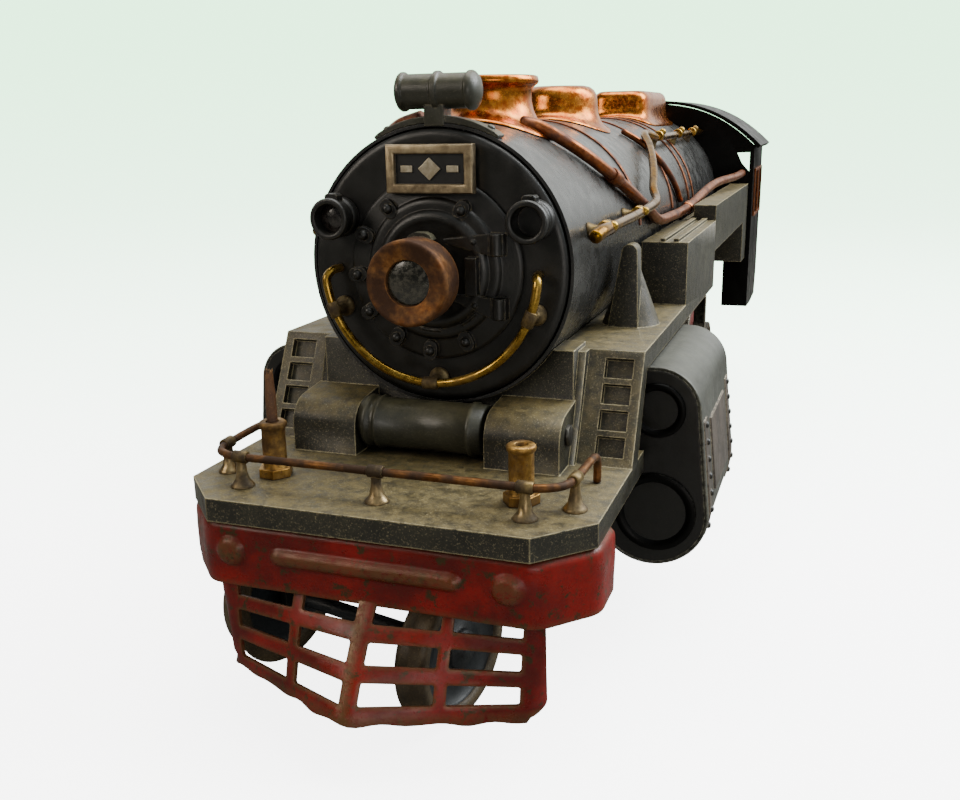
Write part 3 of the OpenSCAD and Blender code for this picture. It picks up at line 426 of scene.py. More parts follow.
def prism(outline, length):
    """A closed 2-D outline in (x, y) drawn up to z = length."""
    n = len(outline)
    verts = [Vector((x, y, 0)) for x, y in outline] + [Vector((x, y, length)) for x, y in outline]
    faces = [tuple(range(n - 1, -1, -1)), tuple(range(n, 2 * n))]
    faces += [(i, (i + 1) % n, n + (i + 1) % n, n + i) for i in range(n)]
    return verts, faces


def block(x0, y0, z0, x1, y1, z1):
    v, f = prism([(x0, y0), (x1, y0), (x1, y1), (x0, y1)], z1 - z0)
    return [p + Vector((0, 0, z0)) for p in v], f


class Piece:
    """One visible piece, gathered from simple closed shapes, riding on its CAD node's body."""

    def __init__(self, name, node, *slots):
        self.name, self.node = name, node
        self.bm = bmesh.new()
        self.slots = slots or (SLOT_OF[node],)

    def add(self, shape, m=None, mat=0, mirror=False):
        verts, faces = shape
        if m is not None:
            verts = transform(verts, m)
        if mirror:
            verts = [Vector((-v[0], v[1], v[2])) for v in verts]
            faces = [tuple(reversed(f)) for f in faces]
        made = [self.bm.verts.new(v) for v in verts]
        for f in faces:
            face = self.bm.faces.new([made[i] for i in f])
            face.material_index = mat
        return self

    def both(self, shape, m=None, mat=0):
        self.add(shape, m, mat)
        return self.add(shape, m, mat, mirror=True)

    def finish(self, bevel=0.0, segments=2, sharp=38, replaces=(), fix=True):
        bmesh.ops.transform(self.bm, matrix=TO_ROW, verts=self.bm.verts)
        if fix:
            bmesh.ops.recalc_face_normals(self.bm, faces=self.bm.faces)
        mesh = bpy.data.meshes.new(self.name)
        self.bm.to_mesh(mesh)
        self.bm.free()
        obj = bpy.data.objects.new(self.name, mesh)
        bpy.context.scene.collection.objects.link(obj)
        return dress(obj, self.node, self.slots, bevel, segments, sharp, replaces or (self.node,))


def dress(obj, node, slots, bevel, segments, sharp, replaces):
    """Gives a new piece its materials, rounded edges and smooth shading, and puts it on its body."""
    mesh = obj.data
    for s in slots:
        mesh.materials.append(MATS[s])
    mesh.shade_smooth()
    mesh.set_sharp_from_angle(angle=math.radians(sharp))
    if bevel:
        mod = obj.modifiers.new("edges", "BEVEL")
        mod.width = bevel * MM
        mod.segments = segments
        mod.limit_method = "ANGLE"
        mod.angle_limit = math.radians(sharp)
        mod.harden_normals = True
        mod.use_clamp_overlap = True
        mod.miter_outer = "MITER_ARC"
    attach(obj, BODY_OF[node])
    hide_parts(*replaces)
    return obj


def refined(node, slots=None, bevel=0.2, sharp=38, segments=2, pick=None):
    """A copy of a CAD node with its edges rounded and a finished material."""
    mesh = frame["nodes"][node].data.copy()
    mesh.materials.clear()
    bm = bmesh.new()
    bm.from_mesh(mesh)
    bmesh.ops.remove_doubles(bm, verts=bm.verts, dist=1e-6)
    bmesh.ops.recalc_face_normals(bm, faces=bm.faces)
    for face in bm.faces:
        face.material_index = pick(face) if pick else 0
    bm.to_mesh(mesh)
    bm.free()
    obj = bpy.data.objects.new(node + "_part", mesh)
    bpy.context.scene.collection.objects.link(obj)
    return dress(obj, node, slots or (SLOT_OF[node],), bevel, segments, sharp, (node,))


# ---------------------------------------------------------------- front end

DISC_Y = cad("smokebox_front")[0].y
FACING = (0, -1, 0)


def trumpet(height, foot, neck):
    """Half of a turned post: a flared foot that narrows to a neck."""
    return [(0, 0), (foot, 0), (foot, 0.35), (foot * 0.86, 0.8), (foot * 0.6, 1.7),
            (neck * 1.15, height * 0.55), (neck, height * 0.8), (neck, height), (0, height)]


def collar(wire_r, half=1.7):
    """The strip of metal wrapped round a rail at a post, drawn along z."""
    r = wire_r + 0.5
    return [(0, -half), (r - 0.25, -half), (r, -half + 0.25), (r, half - 0.25), (r - 0.25, half), (0, half)]


def bolt_head(r=0.9, h=0.8):
    return [(0, -0.3), (r, -0.3), (r, h * 0.35), (r * 0.8, h * 0.75), (r * 0.4, h), (0, h * 1.05)]


def smokebox_front():
    p = Piece("smokebox_disc", "smokebox_front", "front_black")
    back = 4.0
    profile = [(0, 0.25), (20, 0.2), (30.4, 0.12), (31.6, 0.0), (32.6, 0.12), (33.2, 0.6), (33.4, 1.3), (33.4, back),
               (31, back), (31, 2.6), (0, 2.6)]
    p.add(turned([(r, -h) for r, h in profile], 128), at(0, DISC_Y, BOILER_Z, FACING))
    return p.finish(sharp=50)


def smokebox_door():
    p = Piece("smokebox_hatch", "smokebox_door", "front_black")
    base = DISC_Y - 0.05
    ring = [(0, 0), (22.5, 0), (22.6, 0.5), (22.2, 0.95), (21.6, 1.1), (17.9, 1.2), (17.4, 1.35), (17.1, 1.9),
            (16.6, 2.2),
            (15.8, 2.3), (14.6, 2.3), (14.3, 2.7), (13.7, 3.3), (12.6, 3.5), (11.8, 3.3), (11.2, 2.95), (6,
                                                                                                2.8), (0, 2.8)]
    p.add(turned(ring, 112), at(0, base, BOILER_Z, FACING))
    # clamps: short oval tabs, each held by a round bolt
    for deg, r in ((62, 16.6), (128, 18.8), (156, 20.2), (185, 20.8), (212, 21), (-121, 20.4), (-94, 20.6), (-65,
                                                                                                19.6)):
        spot = Matrix.Translation((0, base, BOILER_Z)) @ Matrix.Rotation(-math.radians(deg), 4, "Y")
        tab = [(a + r - 0.5, b) for a, b in round_arc((-0.6, 0), 1.85, 90, 270, 8) + round_arc((0.9, 0), 1.85, -90,
                                                                                               90, 8)]
        p.add(prism(tab, 1.6), spot @ at(0, -0.9, 0, FACING))
        p.add(turned(bolt_head(1.25, 1.3), 24), spot @ at(r - 0.3, -2.5, 0, FACING))
    # two tapered hinge straps that end in small square blocks
    for x0, z0, x1, low, high, tip in ((3.2, 6.8, 15.2, 3.9, 9.2, 0.8), (4.2, -6.6, 15.6, -11.4, -6.2, 1.2)):
        strap = [(x0, z0), (x1, low), (x1, high), (x0, z0 + tip)]
        lay_flat = Matrix.Translation((0, base - 2.4, BOILER_Z)) @ Matrix.Rotation(math.radians(90), 4, "X")
        p.add(prism(strap, 1.0), lay_flat)
        p.add(block(x1 - 0.4, -2.0, low, x1 + 3.4, 1.2, high), Matrix.Translation((0, base - 1.6, BOILER_Z)))
        p.add(turned([(0, 0), (1.2, 0), (1.5, 0.2), (1.5, high - low - 0.2), (1.2, high - low), (0, high - low)], 20),
              Matrix.Translation((x1 + 1.6, base - 3.4, BOILER_Z + low)))
        p.add(turned(bolt_head(0.75, 0.7), 16), at(11.0, base - 3.3, BOILER_Z + (low + high) / 2 + 0.6, FACING))
    # block between the headlight and the lower strap, and two short slots' raised lips below
    p.add(block(9.4, -3.4, -5.4, 12.4, 0, 3.6), Matrix.Translation((0, base - 2.2, BOILER_Z)))
    for a0, a1 in ((-62, -44), (-104, -84)):
        pts = [(14.9 * math.cos(math.radians(a0 + (a1 - a0) * i / 6)), base - 2.3,
                BOILER_Z + 14.9 * math.sin(math.radians(a0 + (a1 - a0) * i / 6))) for i in range(7)]
        p.add(tube(pts, 0.5, 10, smooth=2))
    return p.finish(bevel=0.18, sharp=35)


def number_plate():
    low, high = cad("number_plate")
    p = Piece("plate", "number_plate", "plate_metal", "plate_black", "plate_cream")
    front, back = low.y, low.y + 2.6
    x0, x1, z0, z1 = low.x, high.x, low.z, high.z
    frame_w = 2.3
    rings = []
    for inset, y in ((0, back), (0, front + 0.5), (0.25, front + 0.1), (0.6, front), (frame_w - 0.6, front),
                     (frame_w - 0.2, front + 0.15), (frame_w, front + 0.45), (frame_w, front + 1.2)):
        rings.append([(x0 + inset, y, z0 + inset), (x1 - inset, y, z0 + inset), (x1 - inset, y, z1 - inset),
                      (x0 + inset, y, z1 - inset)])
    p.add(lofted(rings, cap_end=False))
    inner = [(x0 + frame_w, z0 + frame_w), (x1 - frame_w, z0 + frame_w), (x1 - frame_w, z1 - frame_w),
             (x0 + frame_w, z1 - frame_w)]
    p.add(([Vector((x, front + 1.15, z)) for x, z in inner], [(0, 1, 2, 3)]), mat=1)
    # a plain diamond between two bars, in place of the number
    mid_x, mid_z = (x0 + x1) / 2, (z0 + z1) / 2
    stand = Matrix.Translation((mid_x, front + 1.2, mid_z)) @ along(FACING)
    diamond = [(-2.9, 0), (0, -2.7), (2.9, 0), (0, 2.7)]
    p.add(prism(diamond, 0.55), stand, mat=2)
    for x in (-5.9, 5.9):
        p.add(prism([(x - 1.5, -0.8), (x + 1.5, -0.8), (x + 1.5, 0.8), (x - 1.5, 0.8)], 0.5), stand, mat=2)
    p.add(block(-3, 0, -1.5, 3, 1.0, 1.5), Matrix.Translation((mid_x, back, mid_z)))
    return p.finish(bevel=0.12, sharp=30)


def headlight():
    low, high = cad("headlight_housing")
    z = (low.z + high.z) / 2
    p = Piece("headlight_cup", "headlight_housing", "lamp_copper", "tank_paint")
    r = high.x + 0.25
    cup = [(5.25, 3.2), (5.3, 1.5), (5.5, 1.1), (6.0, 0.95), (7.6, 0.55), (8.9, 0.15), (9.4, 0.0), (r - 0.25, 0.25),
           (r, 0.8),
           (r, 2.4), (r - 0.1, 7.6), (r - 0.4, 9.2), (r - 1.4, 10.6), (r - 3.4, 11.7), (4.4, 12.3), (0, 12.4)]
    spot = at(0, low.y, z, (0, 1, 0))
    p.add(turned([(0, 3.2)] + cup, 112), spot)
    p.add(turned([(0, 11.5), (6.4, 11.5), (6.8, 12.2), (6.6, 13.2), (4.7, 13.6), (4.2, 13.8), (4.2, high.y - low.y),
                  (0, high.y - low.y)], 40), spot, mat=1)
    # the cap's small latch, on top
    latch = [(-3.4, 0), (-2.6, 1.1), (-1.2, 1.7), (1.2, 1.7), (2.6, 1.1), (3.4, 0)]
    p.add(prism(latch, 2.4), Matrix.Translation((0.4, low.y + 10.6,
                                                 z + r - 0.9)) @ Matrix.Rotation(math.radians(90), 4, "X"),
          mat=1)
    return p.finish(sharp=45)


def lamp_lenses():
    low, high = cad("headlight_housing")
    z = (low.z + high.z) / 2
    p = Piece("lenses", "lamp_lenses", "lens", "ruby")
    p.add(turned([(0, 1.2), (2, 1.25), (4, 1.5), (5.25, 1.9), (5.25, 3.1), (0, 3.1)], 64), at(0, low.y, z, (0, 1, 0)))
    mlow = cad("marker_lamps")[0]
    mx, mz = -25.3, 58.9
    p.add(turned([(0, 2.6), (2, 2.7), (3.4, 3.3), (3.4, 4.9), (0, 4.9)], 40), at(mx, mlow.y, mz, (0, 1, 0)), mat=1)
    return p.finish(sharp=45)


def marker_lamps():
    low, high = cad("marker_lamps")
    p = Piece("markers", "marker_lamps", "front_black")
    x, z = high.x - 5.1, low.z + 5.1
    prof = [(3.5, 5.2), (3.5, 0.9), (3.75, 0.25), (4.3, 0), (4.85, 0.15), (5.1, 0.6), (5.1, 1.4), (4.8, 1.9), (4.5,
                                                                                                2.2),
            (4.5, 5.0), (4.8, 5.3), (5.0, 5.7), (5.0, 7.6), (0, 7.6)]
    p.both(turned([(0, 5.2)] + prof, 56), at(x, low.y, z, (0, 1, 0)))
    lug = [(-1.7, 0), (1.7, 0), (1.7, 1.5), (1.2, 2.0), (-1.2, 2.0), (-1.7, 1.5)]
    p.both(prism(lug, 3.2), Matrix.Translation((x, low.y + 5.4, z + 4.0)) @ Matrix.Rotation(math.radians(90), 4, "X"))
    return p.finish(bevel=0.15, sharp=40)


def lofted(rings, cap_start=True, cap_end=True):
    """Closed rings of equal length joined in turn."""
    n = len(rings[0])
    verts = [Vector(v) for ring in rings for v in ring]
    faces = []
    for k in range(len(rings) - 1):
        for i in range(n):
            j = (i + 1) % n
            faces.append((k * n + i, k * n + j, (k + 1) * n + j, (k + 1) * n + i))
    if cap_start:
        faces.append(tuple(range(n - 1, -1, -1)))
    if cap_end:
        faces.append(tuple((len(rings) - 1) * n + i for i in range(n)))
    return verts, faces


def grab_rail():
    low, high = cad("grab_rail")
    wire_r = 1.1
    y = low.y + wire_r - 0.05
    r = high.x - 1.05
    p = Piece("front_grab_rail", "grab_rail", "brass", "grey_metal", "dull_brass")
    ring = [(r * math.cos(math.radians(a)), y, BOILER_Z + r * math.sin(math.radians(a))) for a in range(188, 353, 10)]
    start = [(-r + 1.3, DISC_Y - 0.1, BOILER_Z - 0.6), (-r + 0.9, y + 2.4, BOILER_Z - 0.7), (-r + 0.2, y + 0.5,
                                                                                             BOILER_Z - 2.0)]
    end = [(-x, yy, zz) for x, yy, zz in reversed(start)]
    p.add(tube(start + ring + end, wire_r, 18, smooth=4))
    for deg in (-158, -90, -22):
        a = math.radians(deg)
        spot = Matrix.Translation((r * math.cos(a), 0, BOILER_Z + r * math.sin(a)))
        reach = DISC_Y - y
        p.add(turned(trumpet(reach, 2.7, 1.2), 36), spot @ at(0, DISC_Y - 0.02, 0, FACING), mat=1)
        tangent = (-math.sin(a), 0, math.cos(a))
        p.add(turned(collar(wire_r, 2.0), 28), spot @ at(0, y, 0, tangent), mat=2)
    return p.finish(sharp=45)


# ---------------------------------------------------------------- boiler fittings

def skin_z(x, gap=0.0):
    """Height of the boiler's skin above the deck, at x across."""
    r = BOILER_R + gap
    return BOILER_Z + math.sqrt(max(r * r - x * x, 0.0))


def seated(profile, steps, centre_y, outline=None):
    """A turned or shaped fitting whose foot follows the boiler; heights are above the boiler's crown."""
    crown = BOILER_Z + BOILER_R
    rings = []
    for r, h in profile:
        ring = []
        for i in range(steps):
            a = 2 * math.pi * i / steps
            x, y = outline(a, r) if outline else (r * math.cos(a), r * math.sin(a))
            follow = 1 - min(1, max(0, (h - 0.5) / 5.5))
            follow = follow * follow * (3 - 2 * follow)
            ring.append((x, centre_y + y, crown + h + (skin_z(x) - crown) * follow))
        rings.append(ring)
    return lofted(rings)


def smokestack():
    low, high = cad("smokestack")
    top = high.z - BOILER_Z - BOILER_R
    p = Piece("stack", "smokestack", "copper")
    profile = [(9.2, 0.3), (18.2, 0.08), (18.4, 0.35), (18.2, 0.75), (17.0, 1.05), (14.6, 1.5), (12.9, 2.4), (11.9,
                                                                                                3.7), (11.45, 5.2),
               (11.4, 7.6), (11.7, 8.6), (12.5, 9.3), (13.2, 9.8), (13.4, 10.4), (13.1, top - 0.3), (12.4,
                                                                                                top - 0.02),
               (11.4, top - 0.15), (10.7, top - 0.7), (10.2, 8.4), (9.6, 4), (9.2, 1.0)]
    p.add(seated(profile, 96, (low.y + high.y) / 2))
    return p.finish(sharp=60)


def steam_dome():
    low, high = cad("steam_dome")
    top = high.z - BOILER_Z - BOILER_R
    p = Piece("steam_dome_shell", "steam_dome", "copper")
    profile = [(9, 0.25), (17.3, 0.08), (17.5, 0.35), (17.2, 0.75), (15.6, 1.1), (14.2, 1.8), (13.3, 3.0), (12.95,
                                                                                                4.6), (12.8, 6.4),
               (12.5, 8.0), (11.6, 9.5), (10.2, 10.5), (8.4, top - 0.1), (5, top), (2, top)]
    p.add(seated(profile, 96, (low.y + high.y) / 2))
    return p.finish(sharp=60)


def sand_dome():
    low, high = cad("sand_dome")
    top = high.z - BOILER_Z - BOILER_R
    p = Piece("sand_dome_shell", "sand_dome", "copper")
    half_x, half_y = high.x, (high.y - low.y) / 2

    def outline(a, inset):
        hx, hy, k = half_x - inset, half_y - inset, 0.3
        c, s = math.cos(a), math.sin(a)
        return math.copysign(abs(c) ** k, c) * hx, math.copysign(abs(s) ** k, s) * hy

    profile = [(6, 0.25), (0.1, 0.08), (0, 0.4), (0.2, 0.8), (1.4, 1.1), (2.4, 1.7), (3.0, 2.8), (3.2, 4.2), (3.3,
                                                                                                7.4), (3.6, 8.9),
               (4.4, 10.2), (5.6, top - 0.2), (7.2, top), (9.5, top)]
    p.add(seated(profile, 128, (low.y + high.y) / 2, outline))
    return p.finish(sharp=60)


def heater():
    low, high = cad("feedwater_heater")
    y, z = (low.y + high.y) / 2, high.z - 4.7
    y = low.y + 4.75
    p = Piece("heater_drum", "feedwater_heater", "tank_paint")
    prof = [(0, 0.5), (2.4, 0.35), (3.7, 0.5), (4.35, 0.9), (4.6, 1.3), (4.6, 2.0), (4.3, 2.3), (4.1, 2.5), (4.1,
                                                                                                9.6), (4.3, 9.75),
            (4.65, 10.0), (4.65, 11.1), (4.3, 11.35), (4.1, 11.5), (4.1, 18.0), (4.3, 18.2), (4.6, 18.5), (4.6,
                                                                                                19.3), (4.35, 19.8),
            (3.6, 20.5), (2.2, 21.1), (0, 21.35)]
    p.add(turned(prof, 64), at(low.x, y, z, (1, 0, 0)))
    neck = [[(x, yy, zz) for x, yy in ((-2.6, 49.8), (2.6, 49.8), (2.6, 55.0), (-2.6, 55.0))] for zz in (80.5, 85.5)]
    p.add(lofted(neck))
    # arched strap across the boiler
    r0, r1 = BOILER_R + 0.06, BOILER_R + 1.7
    rings = []
    for i in range(25):
        a = math.radians(63 + 54 * i / 24)
        thin = 0.45 + 0.55 * math.sin(math.pi * i / 24) ** 0.5
        rr = r0 + (r1 - r0) * thin
        rings.append([(r * math.cos(a), yy, BOILER_Z + r * math.sin(a)) for r, yy in ((r0, 50.1), (rr, 50.1), (rr,
                                                                                                54.9), (r0, 54.9))])
    p.add(lofted(rings))
    for deg in (68, 112):
        a = math.radians(deg)
        p.add(turned(bolt_head(1.0, 0.8), 18), at((r1 - 0.5) * math.cos(a), 52.5,
                                                  BOILER_Z + (r1 - 0.5) * math.sin(a), (math.cos(a), 0, math.sin(a))))
    return p.finish(bevel=0.2, sharp=35)


def band_strip(y, a0, a1, r0, r1, half, n=48):
    rings = []
    for i in range(n + 1):
        a = math.radians(a0 + (a1 - a0) * i / n)
        rings.append([(r * math.cos(a), yy, BOILER_Z + r * math.sin(a)) for r, yy in
                      ((r0, y - half), (r1 - 0.12, y - half), (r1, y - half * 0.7), (r1, y + half * 0.7),
                       (r1 - 0.12, y + half), (r0, y + half))])
    return lofted(rings)


def boiler_bands():
    p = Piece("boiler_band_strips", "boiler_bands", "aged_copper")
    for y in (131, 192, 232, 244):
        p.add(band_strip(y, 5, 175, BOILER_R + 0.03, BOILER_R + 0.53, 1.1))
    return p.finish(sharp=30)


def hug(y, deg, gap):
    """A point beside the boiler: gap outside its skin, deg above its left side."""
    a = math.radians(deg)
    return ((BOILER_R + gap) * math.cos(a), y, BOILER_Z + (BOILER_R + gap) * math.sin(a))


def injector_path(y0, a0):
    """The injector pipe's way: from y0, a0 above its own side, down to the running board and back to the cab."""
    lead = [hug(y0 + (152 - y0) * i * i / 49, a0 + (4.4 - a0) * i / 7, 1.95) for i in range(8)]
    end_y = cad("copper_pipes")[1].y - 1.3
    return lead, [(37.4, 170, 48.6), (38.2, 206, 48.8), (42, 250, 54.4), (46.4, 290, 55.2), (47, end_y, 55.4)]


def copper_pipes():
    p = Piece("pipes", "copper_pipes", "aged_copper")
    for y0, a0, mirror in ((86, 66, False), (57.5, 80, True)):
        lead, run = injector_path(y0, a0)
        start = [Vector(lead[0]) + Vector((-3.2, -2.5, 0.9))] if not mirror else []
        p.add(tube(start + lead + run, 1.68, 24, smooth=5, wobble=0.02), mirror=mirror)
        for a, b in ((lead[4], lead[5]), (run[1], run[2])):
            p.add(turned(collar(1.7, 2.3), 28), at(*a, Vector(b) - Vector(a)), mirror=mirror)
    p.both(tube([hug(178 + i * 4.5, 58 - i * 8.4, 1.2) for i in range(7)], 1.08, 16, smooth=4))
    return p.finish(sharp=45)


def handrails():
    p = Piece("handrail_wires", "handrails", "rail_brass")
    tip = [(37.4, 58.8, 54.0), (38.4, 62.4, 55.0), (38.9, 70, 55.3)]
    front = tip + [(38.9, 84, 55.3), (38.8, 108, 55.4), (38.4, 136, 56.4)]
    bend = [hug(146 + i * 11, 20 + i * 7.6, 3.4) for i in range(5)]
    end_y = cad("handrails")[1].y - 0.6
    top = [(26.6, 204, 74.4), (26.6, 250, 74.4), (26.6, end_y, 74.4)]
    p.both(tube(front + bend + top, 1.35, 20, smooth=5))
    # thicker sleeve at the front tip
    p.both(tube(tip, 1.75, 20, smooth=5))
    return p.finish(sharp=45)


def handrail_posts():
    p = Piece("handrail_stanchions", "handrail_posts", "brass", "dull_brass")
    for y, deg in ((68, 13), (110, 13), (204, 46.4), (250, 46.4), (290, 46.4)):
        a = math.radians(deg)
        out = (math.cos(a), 0, math.sin(a))
        foot = ((BOILER_R + 0.02) * out[0], y, BOILER_Z + (BOILER_R + 0.02) * out[2])
        p.both(turned(trumpet(4.0, 2.2, 1.0), 32), at(*foot, out), mat=1)
        hub = Vector(foot) + Vector(out) * 4.4
        p.both(turned(collar(1.4, 1.9), 28), at(*hub, (0, 1, 0)))
        cap = Vector(foot) + Vector(out) * 6.1
        p.both(turned([(0, -0.6), (0.9, -0.6), (1.25, -0.1), (1.3, 0.5), (1.0, 1.1), (0.5, 1.4), (0, 1.5)], 20),
               at(*cap, out))
    return p.finish(sharp=45)


# ---------------------------------------------------------------- deck fittings

def deck_rail():
    high = cad("deck_rail")[1]
    wire_r = 0.95
    z = high.z - wire_r
    x_end = high.x - wire_r
    p = Piece("deck_rail_wire", "deck_rail", "rail_copper")
    half = [(x_end + 0.05, 35.6, 0.5), (x_end + 0.05, 35.8, 4.6), (x_end, 34.4, z - 0.5), (x_end - 0.2, 31, z),
            (43.6, 22, z), (43.2, 16.5, z),
            (42.0, 12.9, z), (39.6, 10.8, z), (36.6, 9.8, z), (33, 9.7, z), (16, 9.7, z)]
    other = [(-x, y, zz) for x, y, zz in reversed(half)]
    p.add(tube(half + [(0, 9.7, z)] + other, wire_r, 18, smooth=5, wobble=0.04))
    return p.finish(sharp=45)


def deck_rail_posts():
    p = Piece("deck_stanchions", "deck_rail_posts", "dull_brass", "grey_metal")
    z = cad("deck_rail")[1].z - 0.9
    for x, y, run in ((0, 9.7, (1, 0, 0)), (34.6, 9.7, (1, 0, 0)), (-34.6, 9.7, (1, 0, 0)), (43.4, 17.9, (0.05, 1,
                                                                                                0)), (-43.4, 17.9,
                                                                                                (-0.05, 1, 0))):
        p.add(turned(trumpet(z - 0.6, 2.8, 1.1), 40), at(x, y, 0.03), mat=1)
        p.add(turned(collar(0.95, 1.9), 28), at(x, y, z, run))
    return p.finish(sharp=45)


def flag_sockets():
    low, high = cad("flag_sockets")
    h = high.z - low.z
    p = Piece("sockets", "flag_sockets", "socket_brass")
    prof = [(1.45, h - 0.4), (1.6, h), (2.9, h), (3.3, h - 0.3), (3.4, h - 0.8), (3.3, h - 1.3), (2.95, h - 1.75),
            (2.85, h - 2.0), (2.85, 2.5),
            (3.1, 2.2), (0, 2.2)]
    x = high.x - 4.3
    p.both(turned([(0, 2.0), (1.45, 2.0)] + prof, 48), at(x, 18.7, low.z))
    hexagon = [(4.25 * math.cos(math.radians(60 * i + 8)),
                4.25 * math.sin(math.radians(60 * i + 8))) for i in range(6)]
    p.both(prism(hexagon, 2.25), at(x, 18.7, low.z))
    return p.finish(bevel=0.2, sharp=40)


def flag_staff():
    low, high = cad("flag_staff")
    x = (low.x + high.x) / 2
    p = Piece("broken_staff", "flag_staff", "staff")
    rings, steps = [], 20
    top = high.z - low.z
    for r, h in ((1.25, 0), (1.3, 6), (1.3, 14), (1.28, 18), (1.15, 19.5), (1.05, 20.5)):
        rings.append([(r * math.cos(2 * math.pi * i / steps), r * math.sin(2 * math.pi * i / steps),
                       h) for i in range(steps)])
    splinter = [top - 0.4 - 2.6 * abs(noise.noise(Vector((i * 0.9, 3.1,
                                                          0.2)))) * (1.6 if i % 3 else 0.4) for i in range(steps)]
    rings.append([(0.95 * math.cos(2 * math.pi * i / steps), 0.95 * math.sin(2 * math.pi * i / steps),
                   splinter[i]) for i in range(steps)])
    rings.append([(0.55 * math.cos(2 * math.pi * i / steps), 0.55 * math.sin(2 * math.pi * i / steps),
                   splinter[i] - 2.2) for i in range(steps)])
    p.add(lofted(rings), Matrix.Translation((x, 18.7, low.z)))
    return p.finish(sharp=40)


# ---------------------------------------------------------------- pilot

def pilot():
    """The stamped cow-catcher: one sheet with a bent band above and a pierced prow below."""
    p = Piece("pilot_sheet", "pilot", "red_paint")
    verts, faces = [], []

    # band: along the outline in u, down in v
    corners = [(50.2, 25), (50.2, 12.8), (39.4, 1.6), (-39.4, 1.6), (-50.2, 12.8), (-50.2, 25)]
    path = rounded_path(corners, 3.0)
    bead = (Vector((-21, -12.6)), Vector((21, -12.6)))
    rows = 24
    wear = []
    for k in range(rows + 1):
        v = k / rows
        z = -5.9 - 15.3 * v
        tuck = 1.4 * max(0.0, (0.1 - v) / 0.1) ** 1.5
        for i, (x, y) in enumerate(path):
            a, b = path[max(0, i - 1)], path[min(len(path) - 1, i + 1)]
            t = Vector((b[0] - a[0], b[1] - a[1])).normalized()
            out = Vector((-t.y, t.x))
            if out.y > 0 and abs(x) < 45:
                out = -out
            if abs(x) >= 45 and out.x * x < 0:
                out = -out
            here = Vector((x, z))
            raised = 0.0
            if y < 6:
                raised = 1.5 * smooth(1 - (distance_to_segment(here, *bead) - 0.7) / 1.5)
                for cx in (-33.4, 33.4):
                    raised = max(raised, 1.4 * smooth(1 - ((here - Vector((cx, -12.6))).length - 2.4) / 1.2))
            wavy = 0.2 * noise.noise(Vector((x * 0.11, z * 0.2, 1.7)))
            pos = Vector((x, y)) + out * (0.3 * math.sin(math.pi * v) - tuck + raised + wavy)
            verts.append(Vector((pos.x, pos.y, z)))
            wear.append(0.75 * raised / 1.5 + 0.6 * smooth((v - 0.88) / 0.12) + 0.45 * smooth((0.1 - v) / 0.1))
    n = len(path)
    for k in range(rows):
        for i in range(n - 1):
            faces.append((k * n + i, k * n + i + 1, (k + 1) * n + i + 1, (k + 1) * n + i))
    band_count = len(verts)

    grille_v, grille_f, grille_w = pilot_grille()
    verts += grille_v
    wear += grille_w
    faces += [tuple(i + band_count for i in f) for f in grille_f]
    p.add((verts, faces))
    bmesh.ops.transform(p.bm, matrix=TO_ROW, verts=p.bm.verts)
    bmesh.ops.recalc_face_normals(p.bm, faces=p.bm.faces)
    mesh = bpy.data.meshes.new(p.name)
    p.bm.to_mesh(mesh)
    p.bm.free()
    layer = mesh.attributes.new("wear", "FLOAT", "POINT")
    layer.data.foreach_set("value", wear)
    obj = bpy.data.objects.new(p.name, mesh)
    bpy.context.scene.collection.objects.link(obj)
    solid = obj.modifiers.new("sheet", "SOLIDIFY")
    solid.thickness = 0.95 * MM
    solid.offset = 0
    round_edges = obj.modifiers.new("rim", "BEVEL")
    round_edges.width = 0.2 * MM
    round_edges.segments = 2
    round_edges.limit_method = "ANGLE"
    round_edges.angle_limit = math.radians(50)
    mesh.materials.append(MATS["red_paint"])
    mesh.shade_smooth()
    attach(obj, BODY_OF["pilot"])
    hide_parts("pilot")
    return obj


def smooth(t):
    t = min(1.0, max(0.0, t))
    return t * t * (3 - 2 * t)


def distance_to_segment(p, a, b):
    ab = b - a
    t = min(1.0, max(0.0, (p - a).dot(ab) / ab.length_squared))
    return (p - (a + ab * t)).length


def rounded_path(corners, radius, step=0.9):
    """A polyline with its inner corners rounded, sampled every step or so."""
    pts = [Vector(c) for c in corners]
    out = []

    def straight(a, b):
        n = max(1, round((b - a).length / step))
        out.extend(a.lerp(b, i / n) for i in range(n))
    here = pts[0]
    for prev, c, nxt in zip(pts, pts[1:], pts[2:]):
        u, w = (prev - c).normalized(), (nxt - c).normalized()
        a, b = c + u * radius, c + w * radius
        straight(here, a)
        for i in range(6):
            t = i / 6
            out.append(a * (1 - t) ** 2 + c * 2 * t * (1 - t) + b * t * t)
        here = b
    straight(here, pts[-1])
    out.append(pts[-1])
    return [(v.x, v.y) for v in out]


def prow_point(s, v):
    """The prow's surface: s from -1 to 1 across, v from 0 at the band to 1 at the bottom."""
    low = cad("pilot")[0]
    fold = 0.045
    a = math.sqrt(s * s + fold * fold) - fold * 0.6
    inner = min(a, 0.93)
    back = max(0.0, a - 0.93)
    x = math.copysign(min(abs(s), 1.0) * (40.2 - 0.9 * v), s)
    top = Vector((0, 1.9 + 4.6 * a, -19.7 - 1.5 * a))
    tip_y = low.y + 0.75
    bottom = Vector((0, tip_y + 20 * inner + 90 * back, -42.0 - 2.6 * a))
    bulge = 1.1 * math.sin(math.pi * v)
    m = top.lerp(bottom, v)
    return Vector((x, m.y - bulge * 0.6, m.z + 0.3 * bulge))


CORNER = 0.022  # corner radius of the grille's openings, as a share of its height


